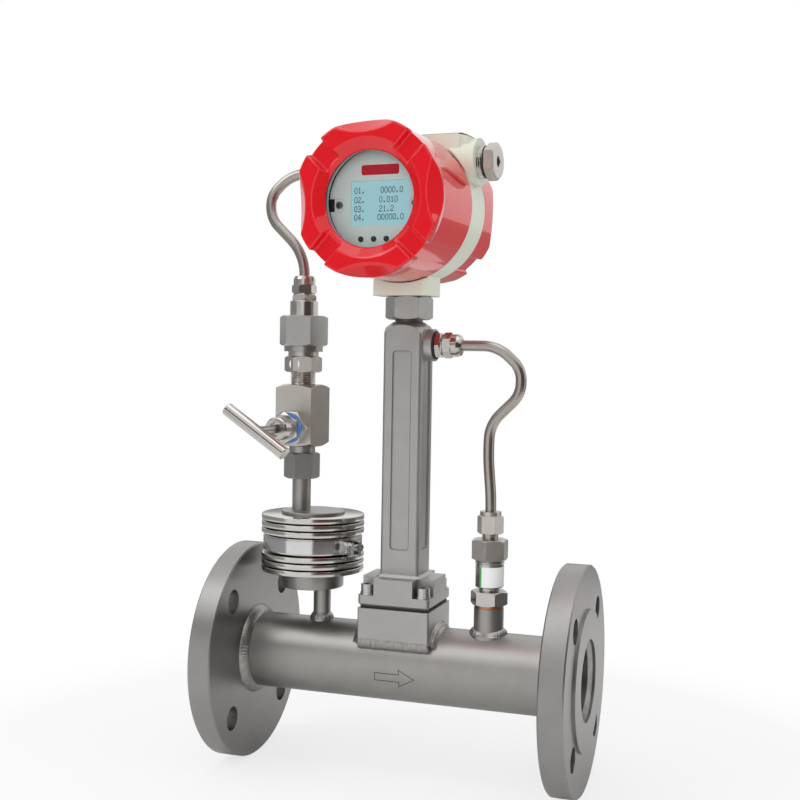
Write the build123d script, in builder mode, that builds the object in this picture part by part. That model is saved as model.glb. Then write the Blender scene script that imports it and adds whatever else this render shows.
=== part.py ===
from build123d import *
import os
from math import cos, hypot, radians, sin, sqrt, tan

os.makedirs("parts", exist_ok=True)

# Vortex flow meter with a pressure branch and a temperature branch, in millimetres.
# The origin is the centre of the inlet face, +X runs with the flow and +Z is up.

# Fits shared by all pieces
running_fit = 0.05
seat_gap = 0.1
thread_relief = 0.5
cut_over = 1.0
hexagon_land = 0.3
hexagon_chamfer = 30.0

# Pipe and flanges: a slip-on pair for a 57 mm pipe
run_length = 280.0
tube_diameter = 57.0
tube_wall = 3.5
tube_setback = 5.0
flange_diameter = 165.0
flange_plate = 18.0
flange_edge = 1.0
raised_face_height = 2.0
raised_face_gap = 2.5
flange_slip = 1.0
bolt_edge = 20.0
bolt_hole = 18.0
bolt_count = 4
outer_weld_leg = 5.5
inner_weld_rise = 3.0
inner_weld_spread = 4.0

# Bluff body that sheds the vortices
bluff_ahead = 31.0
bluff_width = 14.0
bluff_tail = 5.0
bluff_length = 17.0
bluff_fit = 0.05

# Sensor block on the pipe, its gasket and the sensor
sensor_x = 140.0
block_side = 55.0
block_corner = 1.5
block_bottom = 21.8
block_top = 44.3
block_weld_leg = 5.0
block_weld_low = 14.0
block_weld_reach = 52.0
sensor_stem = 15.8
sensor_stem_gap = 0.3
sensor_flange = 33.8
sensor_flange_height = 6.0
sensor_neck = 11.0
sensor_neck_height = 14.0
sensor_blade_length = 13.0
sensor_blade_thickness = 3.0
sensor_blade_tip = -4.0
gasket_side = 51.0
gasket_thickness = 1.9
gasket_bore = 20.0

# Extension column, one casting with its bonnet and side boss
bonnet_height = 7.8
bonnet_round = 1.5
screw_square_width = 43.0
screw_diameter = 6.0
screw_head = 10.0
screw_head_height = 6.0
screw_socket = 5.0
screw_socket_depth = 3.0
screw_length = 24.0
screw_clearance = 0.4
washer_diameter = 11.0
washer_thickness = 1.6
arm_width = 30.0
arm_height = 12.4
step_side = 34.5
step_height = 2.0
column_side = 30.0
column_corner = 3.0
column_top = 255.4
column_bore = 16.0
column_crown_flat = 23.5
column_crown_start = 246.0
column_crown_radius = 20.9
column_crown_bulge = 0.9
panel_width = 14.3
panel_low = 87.0
panel_high = 234.0
panel_corner = 3.0
panel_depth = 1.0
nipple_diameter = 20.0
nipple_bore = 12.0
nipple_engagement = 12.4
nut_flats = 31.0
nut_gap = 1.9
nut_height = 17.2
nut_turn = 11.0
side_boss_diameter = 24.0
side_boss_z = 238.6
side_boss_reach = 21.0

# Glands at the ends of both conduits
gland_flats = 18.0
gland_base = 4.6
gland_collar = 17.0
gland_collar_height = 1.0
gland_neck = 13.0
gland_neck_height = 9.0
gland_nut_flats = 16.6
gland_nut_height = 6.8
gland_dome_height = 7.2
gland_dome_diameter = 17.0
gland_dome_round = 3.2
gland_thread = 12.0
gland_thread_length = 8.0
gland_washer_diameter = 21.0
gland_washer_thickness = 1.2

# Display housing, turned a little about the column
head_turn = 4.2
barrel_z = 337.8
barrel_radius = 52.6
band_front = 14.0
band_rear = 15.8
partition_front = 1.0
partition_rear = 4.0
cover_thread_radius = 47.4
cover_cavity_radius = 44.0
cover_thread_length = 11.0
cover_pitch = 2.0
cover_clear = 0.5
neck_left = 22.6
neck_right = 19.8
neck_front = 18.0
neck_back = 14.0
neck_corner = 3.0
neck_engagement = 9.5
wire_hole = 12.0
wire_hole_rise = 12.0
top_block_half = 43.0
top_block_over = 0.4
top_block_corner = 2.5
entry_boss_diameter = 34.6
entry_drop = 19.3
entry_y = 0.9
entry_stand = 1.4
entry_thread_diameter = 22.0
entry_inner = 28.0

# Seals of the covers
cover_ring_section = 2.6
cover_ring_groove = 3.0
cover_ring_root = 45.4
cover_ring_gap = 0.3

# Front cover with its window
cover_radius = 53.6
cover_front = 82.0
cover_rim_radius = 55.6
cover_rim_start = 66.0
cover_rim_full = 74.0
cover_edge = 1.2
lug_count = 4
lug_clock = 2.5
notch_width = 23.0
notch_depth = 3.0
scallop_inner = 43.0
scallop_back = 13.0
scallop_radius = 89.0
window_radius = 33.0
window_bevel_radius = 39.5
window_lip = 4.0
glass_radius = 39.3
glass_thickness = 6.0
retainer_bore_radius = 35.5
retainer_thickness = 3.0
glass_pocket_step = 2.0

# Rear cover
rear_radius = 52.5
rear_reach = 45.0
rear_wall = 6.0
rear_scallop_inner = 42.6
rear_scallop_back = 12.0

# Display behind the window
bezel_radius = 36.5
bezel_front = 62.0
bezel_thickness = 1.5
lcd_width = 44.0
lcd_height = 31.0
lcd_x = 2.0
lcd_y = -1.3
lcd_frame = 2.0
lcd_recess = 0.6
lcd_gap = 0.1
tab_x = 28.8
tab_y = -2.1
tab_width = 9.0
tab_depth = 0.8
tab_notch_x = 33.0
display_screw_head = 5.0
display_screw_head_height = 1.8
display_screw_shank = 2.5
display_screw_length = 6.0
button_positions = (-11.8, -2.0, 7.7)
button_y = -26.3
button_diameter = 4.0
button_proud = 0.6
button_collar = 5.6
button_collar_thickness = 1.5
button_length = 5.2
button_travel = 0.5
switch_side = 6.0
board_thickness = 1.6
display_board_radius = 35.0
display_board_back = 52.0
main_board_radius = 38.0
main_board_back = 18.0
terminal_board_back = 9.0
pillar_circle_radius = 30.0
pillar_count = 3
pillar_flats = 7.0
terminal_width = 52.0
terminal_depth = 14.0
terminal_height = 12.0
terminal_count = 6
terminal_pitch = 8.0
terminal_hole = 4.0
terminal_hole_depth = 8.0

# Plate on the top block
plate_thickness = 0.9
plate_depth = 24.0
plate_tip = 5.0
plate_tip_angle = 20.0

# Glands in the two housing entries
entry_gland_flats = 24.0
entry_gland_head = 11.4
entry_gland_stand = 4.1
entry_ring_thickness = 1.8
entry_ring_radius = 11.8
entry_gland_shank = 10.4
cable_hole = 5.5
bush_length = 7.2
bush_gap = 0.2

# Pressure branch: stub, cooler, riser
stub_x = 73.5
stub_diameter = 13.2
stub_weld_radius = 9.3
stub_weld_top = 33.0
impulse_bore = 5.0
cooler_x = 65.0
cooler_bottom = 52.8
cooler_collar_radius = 24.0
cooler_collar_height = 12.4
cooler_core_radius = 26.0
fin_radius = 39.25
fin_thickness = 4.1
fin_gap = 1.05
fins_below = 3
fins_above = 3
land_radius = 36.5
land_height = 12.6
cooler_cap_radius = 24.3
cooler_cap_height = 2.3
cooler_cap_round = 1.2
socket_depth = 6.0
band_thickness = 1.3
band_width = 9.6
band_split = 5.0
band_ear_length = 13.0
band_ear_thickness = 2.2
band_angle = 28.0
band_bolt = 5.0
band_bolt_reach = 7.0
band_bolt_flats = 8.0
band_bolt_head = 3.5
band_bolt_tail = 2.0
stack_x = 55.0
riser_diameter = 14.2
riser_free = 24.2
riser_nut_flats = 24.0
riser_nut_height = 19.8
riser_nut_turn = 32.0
riser_shoulder_diameter = 20.0
riser_shoulder_height = 5.0
riser_spigot = 16.0
riser_spigot_height = 6.0
riser_seat_depth = 14.0

# Needle valve, its stem turned a little to one side
valve_turn = 3.5
valve_width = 30.0
valve_depth = 32.0
valve_height = 47.3
valve_crown_radius = 14.6
valve_crown_angle = 20.0
valve_stem_height = 14.9
bonnet_flats = 24.0
bonnet_hexagon = 7.5
bonnet_spigot = 16.0
bonnet_spigot_length = 9.0
bonnet_thread = 13.0
marker_ring_diameter = 21.0
marker_ring_width = 3.0
lock_flats = 21.0
lock_width = 4.6
packing_diameter = 17.6
packing_length = 13.0
packing_recess = 11.0
packing_recess_depth = 3.0
packing_wall = 2.0
stem_diameter = 6.5
stem_guide_gap = 0.05
needle_diameter = 4.0
needle_length = 5.0
orifice_diameter = 3.0
valve_chamber = 8.0
handle_centre = 74.0
handle_diameter = 9.7
handle_length = 56.5
handle_tilt = 33.0
handle_edge = 0.5
stem_grip = 1.5

# Pressure sensor on top of the valve
connector_spigot = 18.0
connector_spigot_depth = 9.0
connector_thread_show = 9.2
connector_flats = 25.0
connector_hexagon = 12.4
connector_turn = 24.0
connector_neck = 23.4
connector_neck_height = 3.5
connector_pin = 17.0
connector_pin_height = 8.0
sensor_ring_diameter = 29.7
sensor_ring_height = 4.2
sensor_flats = 33.0
sensor_hexagon = 23.2
sensor_turn = 12.0
sensor_cavity = 17.0
sensor_cap_diameter = 21.7
sensor_cap_height = 11.3
sensor_cap_depth = 5.0
vent_diameter = 2.0
vent_depth = 2.5
vent_drop = 11.0

# Temperature branch
temperature_lead = 8.25
boss_diameter = 22.0
boss_top = 47.0
boss_weld_radius = 14.2
boss_weld_top = 30.0
copper_diameter = 21.5
copper_thickness = 2.0
well_shank = 12.0
well_shank_length = 16.0
well_flats = 24.0
well_hexagon = 10.5
well_hexagon_turn = 2.0
well_waist = 15.5
well_waist_height = 2.2
well_diameter = 21.0
well_show = 20.6
well_edge = 1.0
sheath_diameter = 6.0
sheath_tip = -6.0
union_flats = 24.0
union_height = 15.2
union_turn = 31.0
union_cover = 9.0
tail_collar = 18.6
tail_collar_height = 3.0
tail_neck = 11.8
tail_neck_show = 3.9
tail_thread_height = 8.0
top_nut_flats = 17.0
top_nut_height = 13.4
top_nut_turn = 4.0
top_ring_diameter = 15.6
top_ring_height = 3.0

# Bent conduits, as corners of their routes with heights above the run axis; the second route's
# corners are measured along the run from the temperature branch
conduit_diameter = 8.0
conduit_fit = 0.05
conduit_bend_share = 0.45
conduit_straight = 10.0
pressure_bends = ((27.0, 0, 334.0), (25.3, 1.0, 351.5), (38.5, 3.6, 366.0))
temperature_bends = ((21.0, 222.0), (20.5, 203.5), (-1.9, 181.5), (-2.7, 158.0))
temperature_reach = 68.5


def lathe_plane(base):
    """The plane through a base plane's axis: first coordinate along it, second outwards."""
    return Plane(origin=base.origin, x_dir=base.z_dir, z_dir=base.y_dir)


def turn(base, outline, mode=Mode.ADD, arc=360.0):
    """Turn a closed outline of (height, radius) points about the axis of a base plane."""
    with BuildSketch(lathe_plane(base)) as section:
        with BuildLine():
            Polyline(*outline, close=True)
        make_face()
    axis = Axis(base.origin, base.z_dir)
    revolve(section.sketch, axis=axis, revolution_arc=arc, mode=mode)


def turn_rod(base, low, high, diameter, mode=Mode.ADD):
    """Turn a plain rod, or bore a plain hole, between two heights."""
    turn(base, ((low, 0), (low, diameter / 2), (high, diameter / 2), (high, 0)), mode)


def turn_ring(base, low, high, bore, diameter):
    """Turn a plain ring between two heights."""
    outline = ((low, bore / 2), (low, diameter / 2), (high, diameter / 2), (high, bore / 2))
    turn(base, outline)


def weld_bead(base, height, radius, rise, spread, arc=360.0):
    """Lay a fillet weld about an axis, its corner at a height and a radius."""
    turn(base, ((height, radius), (height + rise, radius), (height, radius + spread)), arc=arc)


def hexagon_bar(base, flats, low, high, chamfer_low=True, chamfer_high=True, turned=0.0):
    """A hexagon bar along a base plane's axis, its corners turned off at the chosen ends."""
    face = flats / 2 - hexagon_land
    outer = flats / sqrt(3) + cut_over
    rise = (outer - face) * tan(radians(hexagon_chamfer))
    low_end = [(low, face), (low + rise, outer)] if chamfer_low else [(low, outer)]
    high_end = [(high - rise, outer), (high, face)] if chamfer_high else [(high, outer)]
    with BuildPart() as bar:
        with BuildSketch(base.offset(low)):
            RegularPolygon(flats / 2, 6, major_radius=False, rotation=turned)
        extrude(amount=high - low)
        turn(base, [(low, 0), *low_end, *high_end, (high, 0)], Mode.INTERSECT)
    return bar.part


pieces = {}

# Planes that carry the sub-assemblies
run = Plane(origin=(0, 0, 0), x_dir=(0, 1, 0), z_dir=(1, 0, 0))
outlet = Plane(origin=(run_length, 0, 0), x_dir=(0, 1, 0), z_dir=(-1, 0, 0))
meter = Plane(origin=(sensor_x, 0, 0))
tube_radius = tube_diameter / 2
tube_bore = tube_diameter - 2 * tube_wall
flange_thickness = raised_face_height + flange_plate
flange_bore_radius = tube_radius + flange_slip
bolt_circle = flange_diameter - 2 * bolt_edge
raised_face_diameter = bolt_circle - bolt_hole - 2 * raised_face_gap

# The temperature branch stands a little ahead of the middle between block and outlet flange
branch_middle = (sensor_x + block_side / 2 + run_length - flange_thickness) / 2
temperature_x = branch_middle - temperature_lead

# Flow tube
with BuildPart() as flow_tube:
    with BuildSketch(run.offset(tube_setback)):
        Circle(tube_radius)
        Circle(tube_bore / 2, mode=Mode.SUBTRACT)
    extrude(amount=run_length - 2 * tube_setback)
    with BuildSketch(Plane.XY):
        with Locations((sensor_x, 0)):
            Circle(sensor_stem / 2 + sensor_stem_gap)
        with Locations((stub_x, 0)):
            Circle(impulse_bore / 2)
        with Locations((temperature_x, 0)):
            Circle(well_shank / 2 + running_fit)
    extrude(amount=tube_diameter, mode=Mode.SUBTRACT)
pieces["flow_tube"] = flow_tube

# Flanges
for flange_name, flange_base in (("inlet_flange", run), ("outlet_flange", outlet)):
    with BuildPart() as flange:
        turn(
            flange_base,
            (
                (0, flange_bore_radius),
                (0, raised_face_diameter / 2),
                (raised_face_height, raised_face_diameter / 2),
                (raised_face_height, flange_diameter / 2 - flange_edge),
                (raised_face_height + flange_edge, flange_diameter / 2),
                (flange_thickness - flange_edge, flange_diameter / 2),
                (flange_thickness, flange_diameter / 2 - flange_edge),
                (flange_thickness, flange_bore_radius),
            ),
        )
        with BuildSketch(flange_base):
            with PolarLocations(bolt_circle / 2, bolt_count, start_angle=180 / bolt_count):
                Circle(bolt_hole / 2)
        extrude(amount=flange_thickness, mode=Mode.SUBTRACT)
    pieces[flange_name] = flange

# Welds: round the block and both branches, then inside and outside each flange
temperature = Plane(origin=(temperature_x, 0, 0))
stub_axis = Plane(origin=(stub_x, 0, 0))
with BuildPart() as weld_beads:
    with BuildSketch(Plane.YZ.offset(sensor_x - block_side / 2)):
        for side in (-1, 1):
            with BuildLine():
                Polyline(
                    (0, block_bottom),
                    (side * block_side / 2, block_bottom),
                    (side * sqrt(tube_radius**2 - block_weld_low**2), block_weld_low),
                    (0, block_weld_low),
                    close=True,
                )
            make_face()
    extrude(amount=block_side)
    for direction in (-1, 1):
        lean = radians(block_weld_reach)
        weld_end = Plane(
            origin=(sensor_x + direction * block_side / 2, 0, 0),
            x_dir=(0, direction * sin(lean), cos(lean)),
            z_dir=(direction, 0, 0),
        )
        weld_bead(weld_end, 0, tube_radius, block_weld_leg, block_weld_leg, 2 * block_weld_reach)
    for branch, branch_radius, foot_radius, weld_top in (
        (temperature, boss_diameter / 2, boss_weld_radius, boss_weld_top),
        (stub_axis, stub_diameter / 2, stub_weld_radius, stub_weld_top),
    ):
        weld_foot_z = sqrt(tube_radius**2 - foot_radius**2) - block_weld_leg / 2
        turn(
            branch,
            (
                (weld_foot_z, branch_radius),
                (weld_foot_z, foot_radius),
                (tube_radius - block_weld_leg / 4, foot_radius),
                (weld_top, branch_radius),
            ),
        )
    with BuildSketch(run):
        Circle(tube_radius)
    extrude(amount=run_length, mode=Mode.SUBTRACT)
    for flange_base in (run, outlet):
        weld_bead(flange_base, flange_thickness, tube_radius, outer_weld_leg, outer_weld_leg)
        weld_bead(
            flange_base, tube_setback, flange_bore_radius, -inner_weld_rise, -inner_weld_spread
        )
pieces["weld_beads"] = weld_beads

# Bluff body
bluff_face = sensor_x - bluff_ahead
with BuildPart() as bluff_body:
    with BuildSketch(Plane.XY.offset(-tube_bore / 2)):
        with BuildLine():
            Polyline(
                (bluff_face, -bluff_width / 2),
                (bluff_face, bluff_width / 2),
                (bluff_face + bluff_length, bluff_tail / 2),
                (bluff_face + bluff_length, -bluff_tail / 2),
                close=True,
            )
        make_face()
    extrude(amount=tube_bore)
    with BuildSketch(run):
        Circle(tube_bore / 2 - bluff_fit)
    extrude(amount=run_length, mode=Mode.INTERSECT)
pieces["bluff_body"] = bluff_body

# Sensor block, saddled on the pipe
with BuildPart() as sensor_block:
    with BuildSketch(meter.offset(block_bottom)):
        RectangleRounded(block_side, block_side, block_corner)
    extrude(amount=block_top - block_bottom)
    with BuildSketch(run):
        Circle(tube_radius + running_fit)
    extrude(amount=run_length, mode=Mode.SUBTRACT)
    with BuildSketch(meter.offset(block_top)):
        Circle(sensor_flange / 2 + seat_gap)
    extrude(amount=-sensor_flange_height, mode=Mode.SUBTRACT)
    with BuildSketch(meter.offset(block_top)):
        Circle(sensor_stem / 2 + sensor_stem_gap)
    extrude(amount=block_bottom - block_top, mode=Mode.SUBTRACT)
    with BuildSketch(meter.offset(block_top)):
        with GridLocations(screw_square_width, screw_square_width, 2, 2):
            Circle(screw_diameter / 2 + running_fit)
    extrude(amount=-screw_length + bonnet_height, mode=Mode.SUBTRACT)
pieces["sensor_block"] = sensor_block

# Gasket under the bonnet
bonnet_bottom = block_top + gasket_thickness
with BuildPart() as sensor_gasket:
    with BuildSketch(meter.offset(block_top)):
        Rectangle(gasket_side, gasket_side)
        Circle(gasket_bore / 2, mode=Mode.SUBTRACT)
        with GridLocations(screw_square_width, screw_square_width, 2, 2):
            Circle(screw_diameter / 2 + screw_clearance, mode=Mode.SUBTRACT)
    extrude(amount=gasket_thickness)
pieces["sensor_gasket"] = sensor_gasket

# Vortex sensor: flange, stem through the pipe wall, blade in the stream
sensor_seat = block_top - sensor_flange_height
with BuildPart() as vortex_sensor:
    turn(
        meter,
        (
            (tube_bore / 2, 0),
            (tube_bore / 2, sensor_stem / 2),
            (sensor_seat, sensor_stem / 2),
            (sensor_seat, sensor_flange / 2),
            (block_top, sensor_flange / 2),
            (block_top, sensor_neck / 2),
            (block_top + sensor_neck_height, sensor_neck / 2),
            (block_top + sensor_neck_height, 0),
        ),
    )
    with BuildSketch(meter.offset(sensor_blade_tip)):
        SlotOverall(sensor_blade_length, sensor_blade_thickness)
    extrude(amount=tube_bore / 2 - sensor_blade_tip)
pieces["vortex_sensor"] = vortex_sensor

# Extension column
bonnet_top = bonnet_bottom + bonnet_height
arm_top = bonnet_top + arm_height
nipple_low = column_top - nipple_engagement
with BuildPart() as extension_column:
    with BuildSketch(meter.offset(bonnet_bottom)):
        RectangleRounded(block_side, block_side, block_corner + bonnet_round)
    extrude(amount=bonnet_height)
    chamfer(extension_column.faces().sort_by(Axis.Z)[0].edges(), bonnet_round)
    with BuildSketch(meter.offset(bonnet_top)):
        Rectangle(block_side, arm_width)
        Rectangle(arm_width, block_side)
    extrude(amount=arm_height)
    with BuildSketch(meter.offset(arm_top)):
        RectangleRounded(step_side, step_side, column_corner)
    extrude(amount=step_height, taper=45)
    with BuildSketch(meter.offset(arm_top)):
        RectangleRounded(column_side, column_side, column_corner)
    extrude(amount=column_top - arm_top)
    crown_high = (column_top, column_crown_flat / 2)
    crown_low = (column_crown_start, column_crown_radius)
    crown_middle = (
        (crown_high[0] + crown_low[0]) / 2 + column_crown_bulge,
        (crown_high[1] + crown_low[1]) / 2 + column_crown_bulge,
    )
    crown_outside = column_crown_radius + cut_over
    turn(
        meter,
        (
            crown_high,
            crown_middle,
            crown_low,
            (column_crown_start, crown_outside),
            (column_top + cut_over, crown_outside),
            (column_top + cut_over, column_crown_flat / 2),
        ),
        Mode.SUBTRACT,
    )
    for quarter in range(4):
        facing = radians(90 * quarter)
        panel = Plane(
            origin=meter.origin + Vector(cos(facing), sin(facing), 0) * (column_side / 2),
            x_dir=(-sin(facing), cos(facing), 0),
            z_dir=(cos(facing), sin(facing), 0),
        )
        with BuildSketch(panel):
            with Locations((0, (panel_low + panel_high) / 2)):
                RectangleRounded(panel_width, panel_high - panel_low, panel_corner)
        extrude(amount=-panel_depth, mode=Mode.SUBTRACT)
    side_axis = Plane(origin=(sensor_x, 0, side_boss_z), x_dir=(0, 1, 0), z_dir=(1, 0, 0))
    with BuildSketch(side_axis):
        Circle(side_boss_diameter / 2)
    extrude(amount=side_boss_reach)
    turn_rod(meter, bonnet_bottom, nipple_low, column_bore, Mode.SUBTRACT)
    turn_rod(meter, nipple_low, column_top, nipple_diameter + 2 * running_fit, Mode.SUBTRACT)
    turn_rod(side_axis, 0, side_boss_reach, gland_thread + 2 * running_fit, Mode.SUBTRACT)
    with BuildSketch(meter.offset(bonnet_top)):
        with GridLocations(screw_square_width, screw_square_width, 2, 2):
            Circle(screw_diameter / 2 + screw_clearance)
    extrude(amount=-bonnet_height, mode=Mode.SUBTRACT)
pieces["extension_column"] = extension_column

# Spring washers and socket screws of the bonnet
washer_top = bonnet_top + washer_thickness
head_top = washer_top + screw_head_height
with BuildPart() as spring_washers:
    with BuildSketch(meter.offset(bonnet_top)):
        with GridLocations(screw_square_width, screw_square_width, 2, 2):
            Circle(washer_diameter / 2)
            Circle(screw_diameter / 2 + screw_clearance, mode=Mode.SUBTRACT)
    extrude(amount=washer_thickness)
pieces["spring_washers"] = spring_washers

with BuildPart() as bonnet_screws:
    with BuildSketch(meter.offset(washer_top)):
        with GridLocations(screw_square_width, screw_square_width, 2, 2):
            Circle(screw_head / 2)
    extrude(amount=screw_head_height)
    with BuildSketch(meter.offset(washer_top)):
        with GridLocations(screw_square_width, screw_square_width, 2, 2):
            Circle(screw_diameter / 2)
    extrude(amount=-screw_length)
    with BuildSketch(meter.offset(head_top)):
        with GridLocations(screw_square_width, screw_square_width, 2, 2):
            RegularPolygon(screw_socket / 2, 6, major_radius=False)
    extrude(amount=-screw_socket_depth, mode=Mode.SUBTRACT)
pieces["bonnet_screws"] = bonnet_screws

# Lock nut and threaded nipple between column and housing
nut_low = column_top + nut_gap
neck_bottom = nut_low + nut_height
nipple_high = neck_bottom + neck_engagement
with BuildPart() as column_nipple:
    turn_ring(meter, nipple_low, nipple_high, nipple_bore, nipple_diameter)
pieces["column_nipple"] = column_nipple

nut_bar = hexagon_bar(meter, nut_flats, nut_low, neck_bottom, turned=nut_turn)
with BuildPart() as column_nut:
    add(nut_bar)
    turn_rod(meter, nut_low, neck_bottom, nipple_diameter + 2 * running_fit, Mode.SUBTRACT)
pieces["column_nut"] = column_nut

# Housing: barrel, top block with two entries, neck
head_x = Vector(cos(radians(head_turn)), -sin(radians(head_turn)), 0)
head_y = Vector(sin(radians(head_turn)), cos(radians(head_turn)), 0)
head = Plane(origin=(sensor_x, 0, 0), x_dir=head_x, z_dir=(0, 0, 1))
barrel = Plane(origin=(sensor_x, 0, barrel_z), x_dir=head_x, z_dir=head_y * -1)
barrel_back = Plane(origin=(sensor_x, 0, barrel_z), x_dir=head_x * -1, z_dir=head_y)
top_block_rise = barrel_radius + top_block_over
entry_reach = barrel_radius + entry_stand
entry_z = barrel_z + top_block_rise - entry_drop
entry_centre = head.origin + head_y * entry_y + Vector(0, 0, entry_z)
right_entry = Plane(origin=entry_centre, x_dir=head_y, z_dir=head_x)
left_entry = Plane(origin=entry_centre, x_dir=head_y * -1, z_dir=head_x * -1)
bore_radius = cover_thread_radius + running_fit
ring_seat_radius = cover_ring_root + cover_ring_section + cover_ring_gap
band_depth = band_front + band_rear
with BuildPart() as housing:
    turn_rod(barrel, -band_rear, band_front, 2 * barrel_radius)
    with BuildSketch(barrel.offset(-band_rear)):
        with Locations((0, top_block_rise / 2)):
            RectangleRounded(2 * top_block_half, top_block_rise, top_block_corner)
    extrude(amount=band_depth)
    with BuildSketch(head.offset(neck_bottom)):
        with Locations(((neck_right - neck_left) / 2, (neck_back - neck_front) / 2)):
            RectangleRounded(neck_left + neck_right, neck_front + neck_back, neck_corner)
    extrude(amount=barrel_z - barrel_radius - neck_bottom + wire_hole)
    for entry in (right_entry, left_entry):
        with BuildSketch(entry.offset(entry_inner)):
            Circle(entry_boss_diameter / 2)
        extrude(amount=entry_reach - entry_inner)
    for side_plane, side_face, swept in (
        (barrel, band_front, cover_radius),
        (barrel_back, band_rear, rear_radius),
    ):
        turn_rod(side_plane, side_face, side_face + wire_hole, 2 * (swept + cover_clear), Mode.SUBTRACT)
        turn_rod(
            side_plane,
            side_face - cover_ring_groove - cover_ring_gap / 2,
            side_face,
            2 * ring_seat_radius,
            Mode.SUBTRACT,
        )
    turn_rod(barrel, partition_front, band_front, 2 * bore_radius, Mode.SUBTRACT)
    turn_rod(barrel_back, partition_rear, band_rear, 2 * bore_radius, Mode.SUBTRACT)
    for entry in (right_entry, left_entry):
        turn_rod(
            entry,
            entry_inner,
            entry_reach,
            entry_thread_diameter + 2 * running_fit,
            Mode.SUBTRACT,
        )
    turn_rod(
        head,
        neck_bottom,
        nipple_high + thread_relief,
        nipple_diameter + 2 * running_fit,
        Mode.SUBTRACT,
    )
    turn_rod(head, nipple_high, nipple_high + wire_hole_rise, wire_hole, Mode.SUBTRACT)
pieces["housing"] = housing


def cut_lugs(base, front, rim, inner, back):
    """Cut the notches between the lugs of a cover and scallop the outside of each lug."""
    with BuildSketch(base.offset(front)) as notches:
        start = lug_clock + 180 / lug_count
        with PolarLocations(rim, lug_count, start_angle=start):
            Rectangle(2 * (rim - window_radius + cut_over), notch_width)
    extrude(notches.sketch, amount=-notch_depth, mode=Mode.SUBTRACT)
    slope = hypot(rim - inner, back)
    along_out = (rim - inner) / slope
    along_axis = -back / slope
    for lug in range(lug_count):
        angle = radians(lug_clock + 360 / lug_count * lug)
        out = base.x_dir * cos(angle) + base.y_dir * sin(angle)
        foot = base.origin + out * inner + base.z_dir * front
        centre = foot + (out * -along_axis + base.z_dir * along_out) * scallop_radius
        cutter = Plane(origin=centre, z_dir=out * along_out + base.z_dir * along_axis)
        with BuildSketch(cutter) as scallop:
            Circle(scallop_radius)
        extrude(scallop.sketch, amount=2 * slope, both=True, mode=Mode.SUBTRACT)


# Front cover with its window opening
lip_back = cover_front - notch_depth - window_lip
glass_back = lip_back - glass_thickness
retainer_back = glass_back - retainer_thickness
thread_end = band_front - cover_thread_length
pocket_radius = glass_radius + running_fit
with BuildPart() as front_cover:
    turn(
        barrel,
        (
            (thread_end, cover_cavity_radius),
            (thread_end, cover_thread_radius),
            (band_front - cover_ring_groove, cover_thread_radius),
            (band_front - cover_ring_groove, cover_ring_root),
            (band_front, cover_ring_root),
            (band_front, cover_radius),
            (cover_rim_start, cover_radius),
            (cover_rim_full, cover_rim_radius),
            (cover_front - cover_edge, cover_rim_radius),
            (cover_front, cover_rim_radius - cover_edge),
            (cover_front, window_bevel_radius),
            (cover_front - notch_depth, window_radius),
            (lip_back, window_radius),
            (lip_back, pocket_radius),
            (retainer_back - glass_pocket_step, pocket_radius),
            (retainer_back - 2 * glass_pocket_step, cover_cavity_radius),
        ),
    )
    cut_lugs(barrel, cover_front, cover_rim_radius, scallop_inner, scallop_back)
pieces["front_cover"] = front_cover

# Rear cover
rear_thread_end = band_rear - cover_thread_length
with BuildPart() as rear_cover:
    turn(
        barrel_back,
        (
            (rear_thread_end, cover_cavity_radius),
            (rear_thread_end, cover_thread_radius),
            (band_rear - cover_ring_groove, cover_thread_radius),
            (band_rear - cover_ring_groove, cover_ring_root),
            (band_rear, cover_ring_root),
            (band_rear, rear_radius),
            (rear_reach - cover_edge, rear_radius),
            (rear_reach, rear_radius - cover_edge),
            (rear_reach, 0),
            (rear_reach - rear_wall, 0),
            (rear_reach - rear_wall, cover_cavity_radius),
        ),
    )
    cut_lugs(barrel_back, rear_reach, rear_radius, rear_scallop_inner, rear_scallop_back)
pieces["rear_cover"] = rear_cover

# Square-section seals of both covers
seal_bore = 2 * (cover_ring_root + running_fit)
for ring_name, ring_base, ring_face in (
    ("front_seal", barrel, band_front),
    ("rear_seal", barrel_back, band_rear),
):
    seal_low = ring_face - (cover_ring_groove + cover_ring_section) / 2
    with BuildPart() as cover_seal:
        turn_ring(
            ring_base,
            seal_low,
            seal_low + cover_ring_section,
            seal_bore,
            seal_bore + 2 * cover_ring_section,
        )
    pieces[ring_name] = cover_seal

# Window glass and its screwed retainer
with BuildPart() as window_glass:
    turn_rod(barrel, glass_back, lip_back, 2 * glass_radius)
pieces["window_glass"] = window_glass

with BuildPart() as window_retainer:
    turn_ring(barrel, retainer_back, glass_back, 2 * retainer_bore_radius, 2 * glass_radius)
pieces["window_retainer"] = window_retainer

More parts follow.
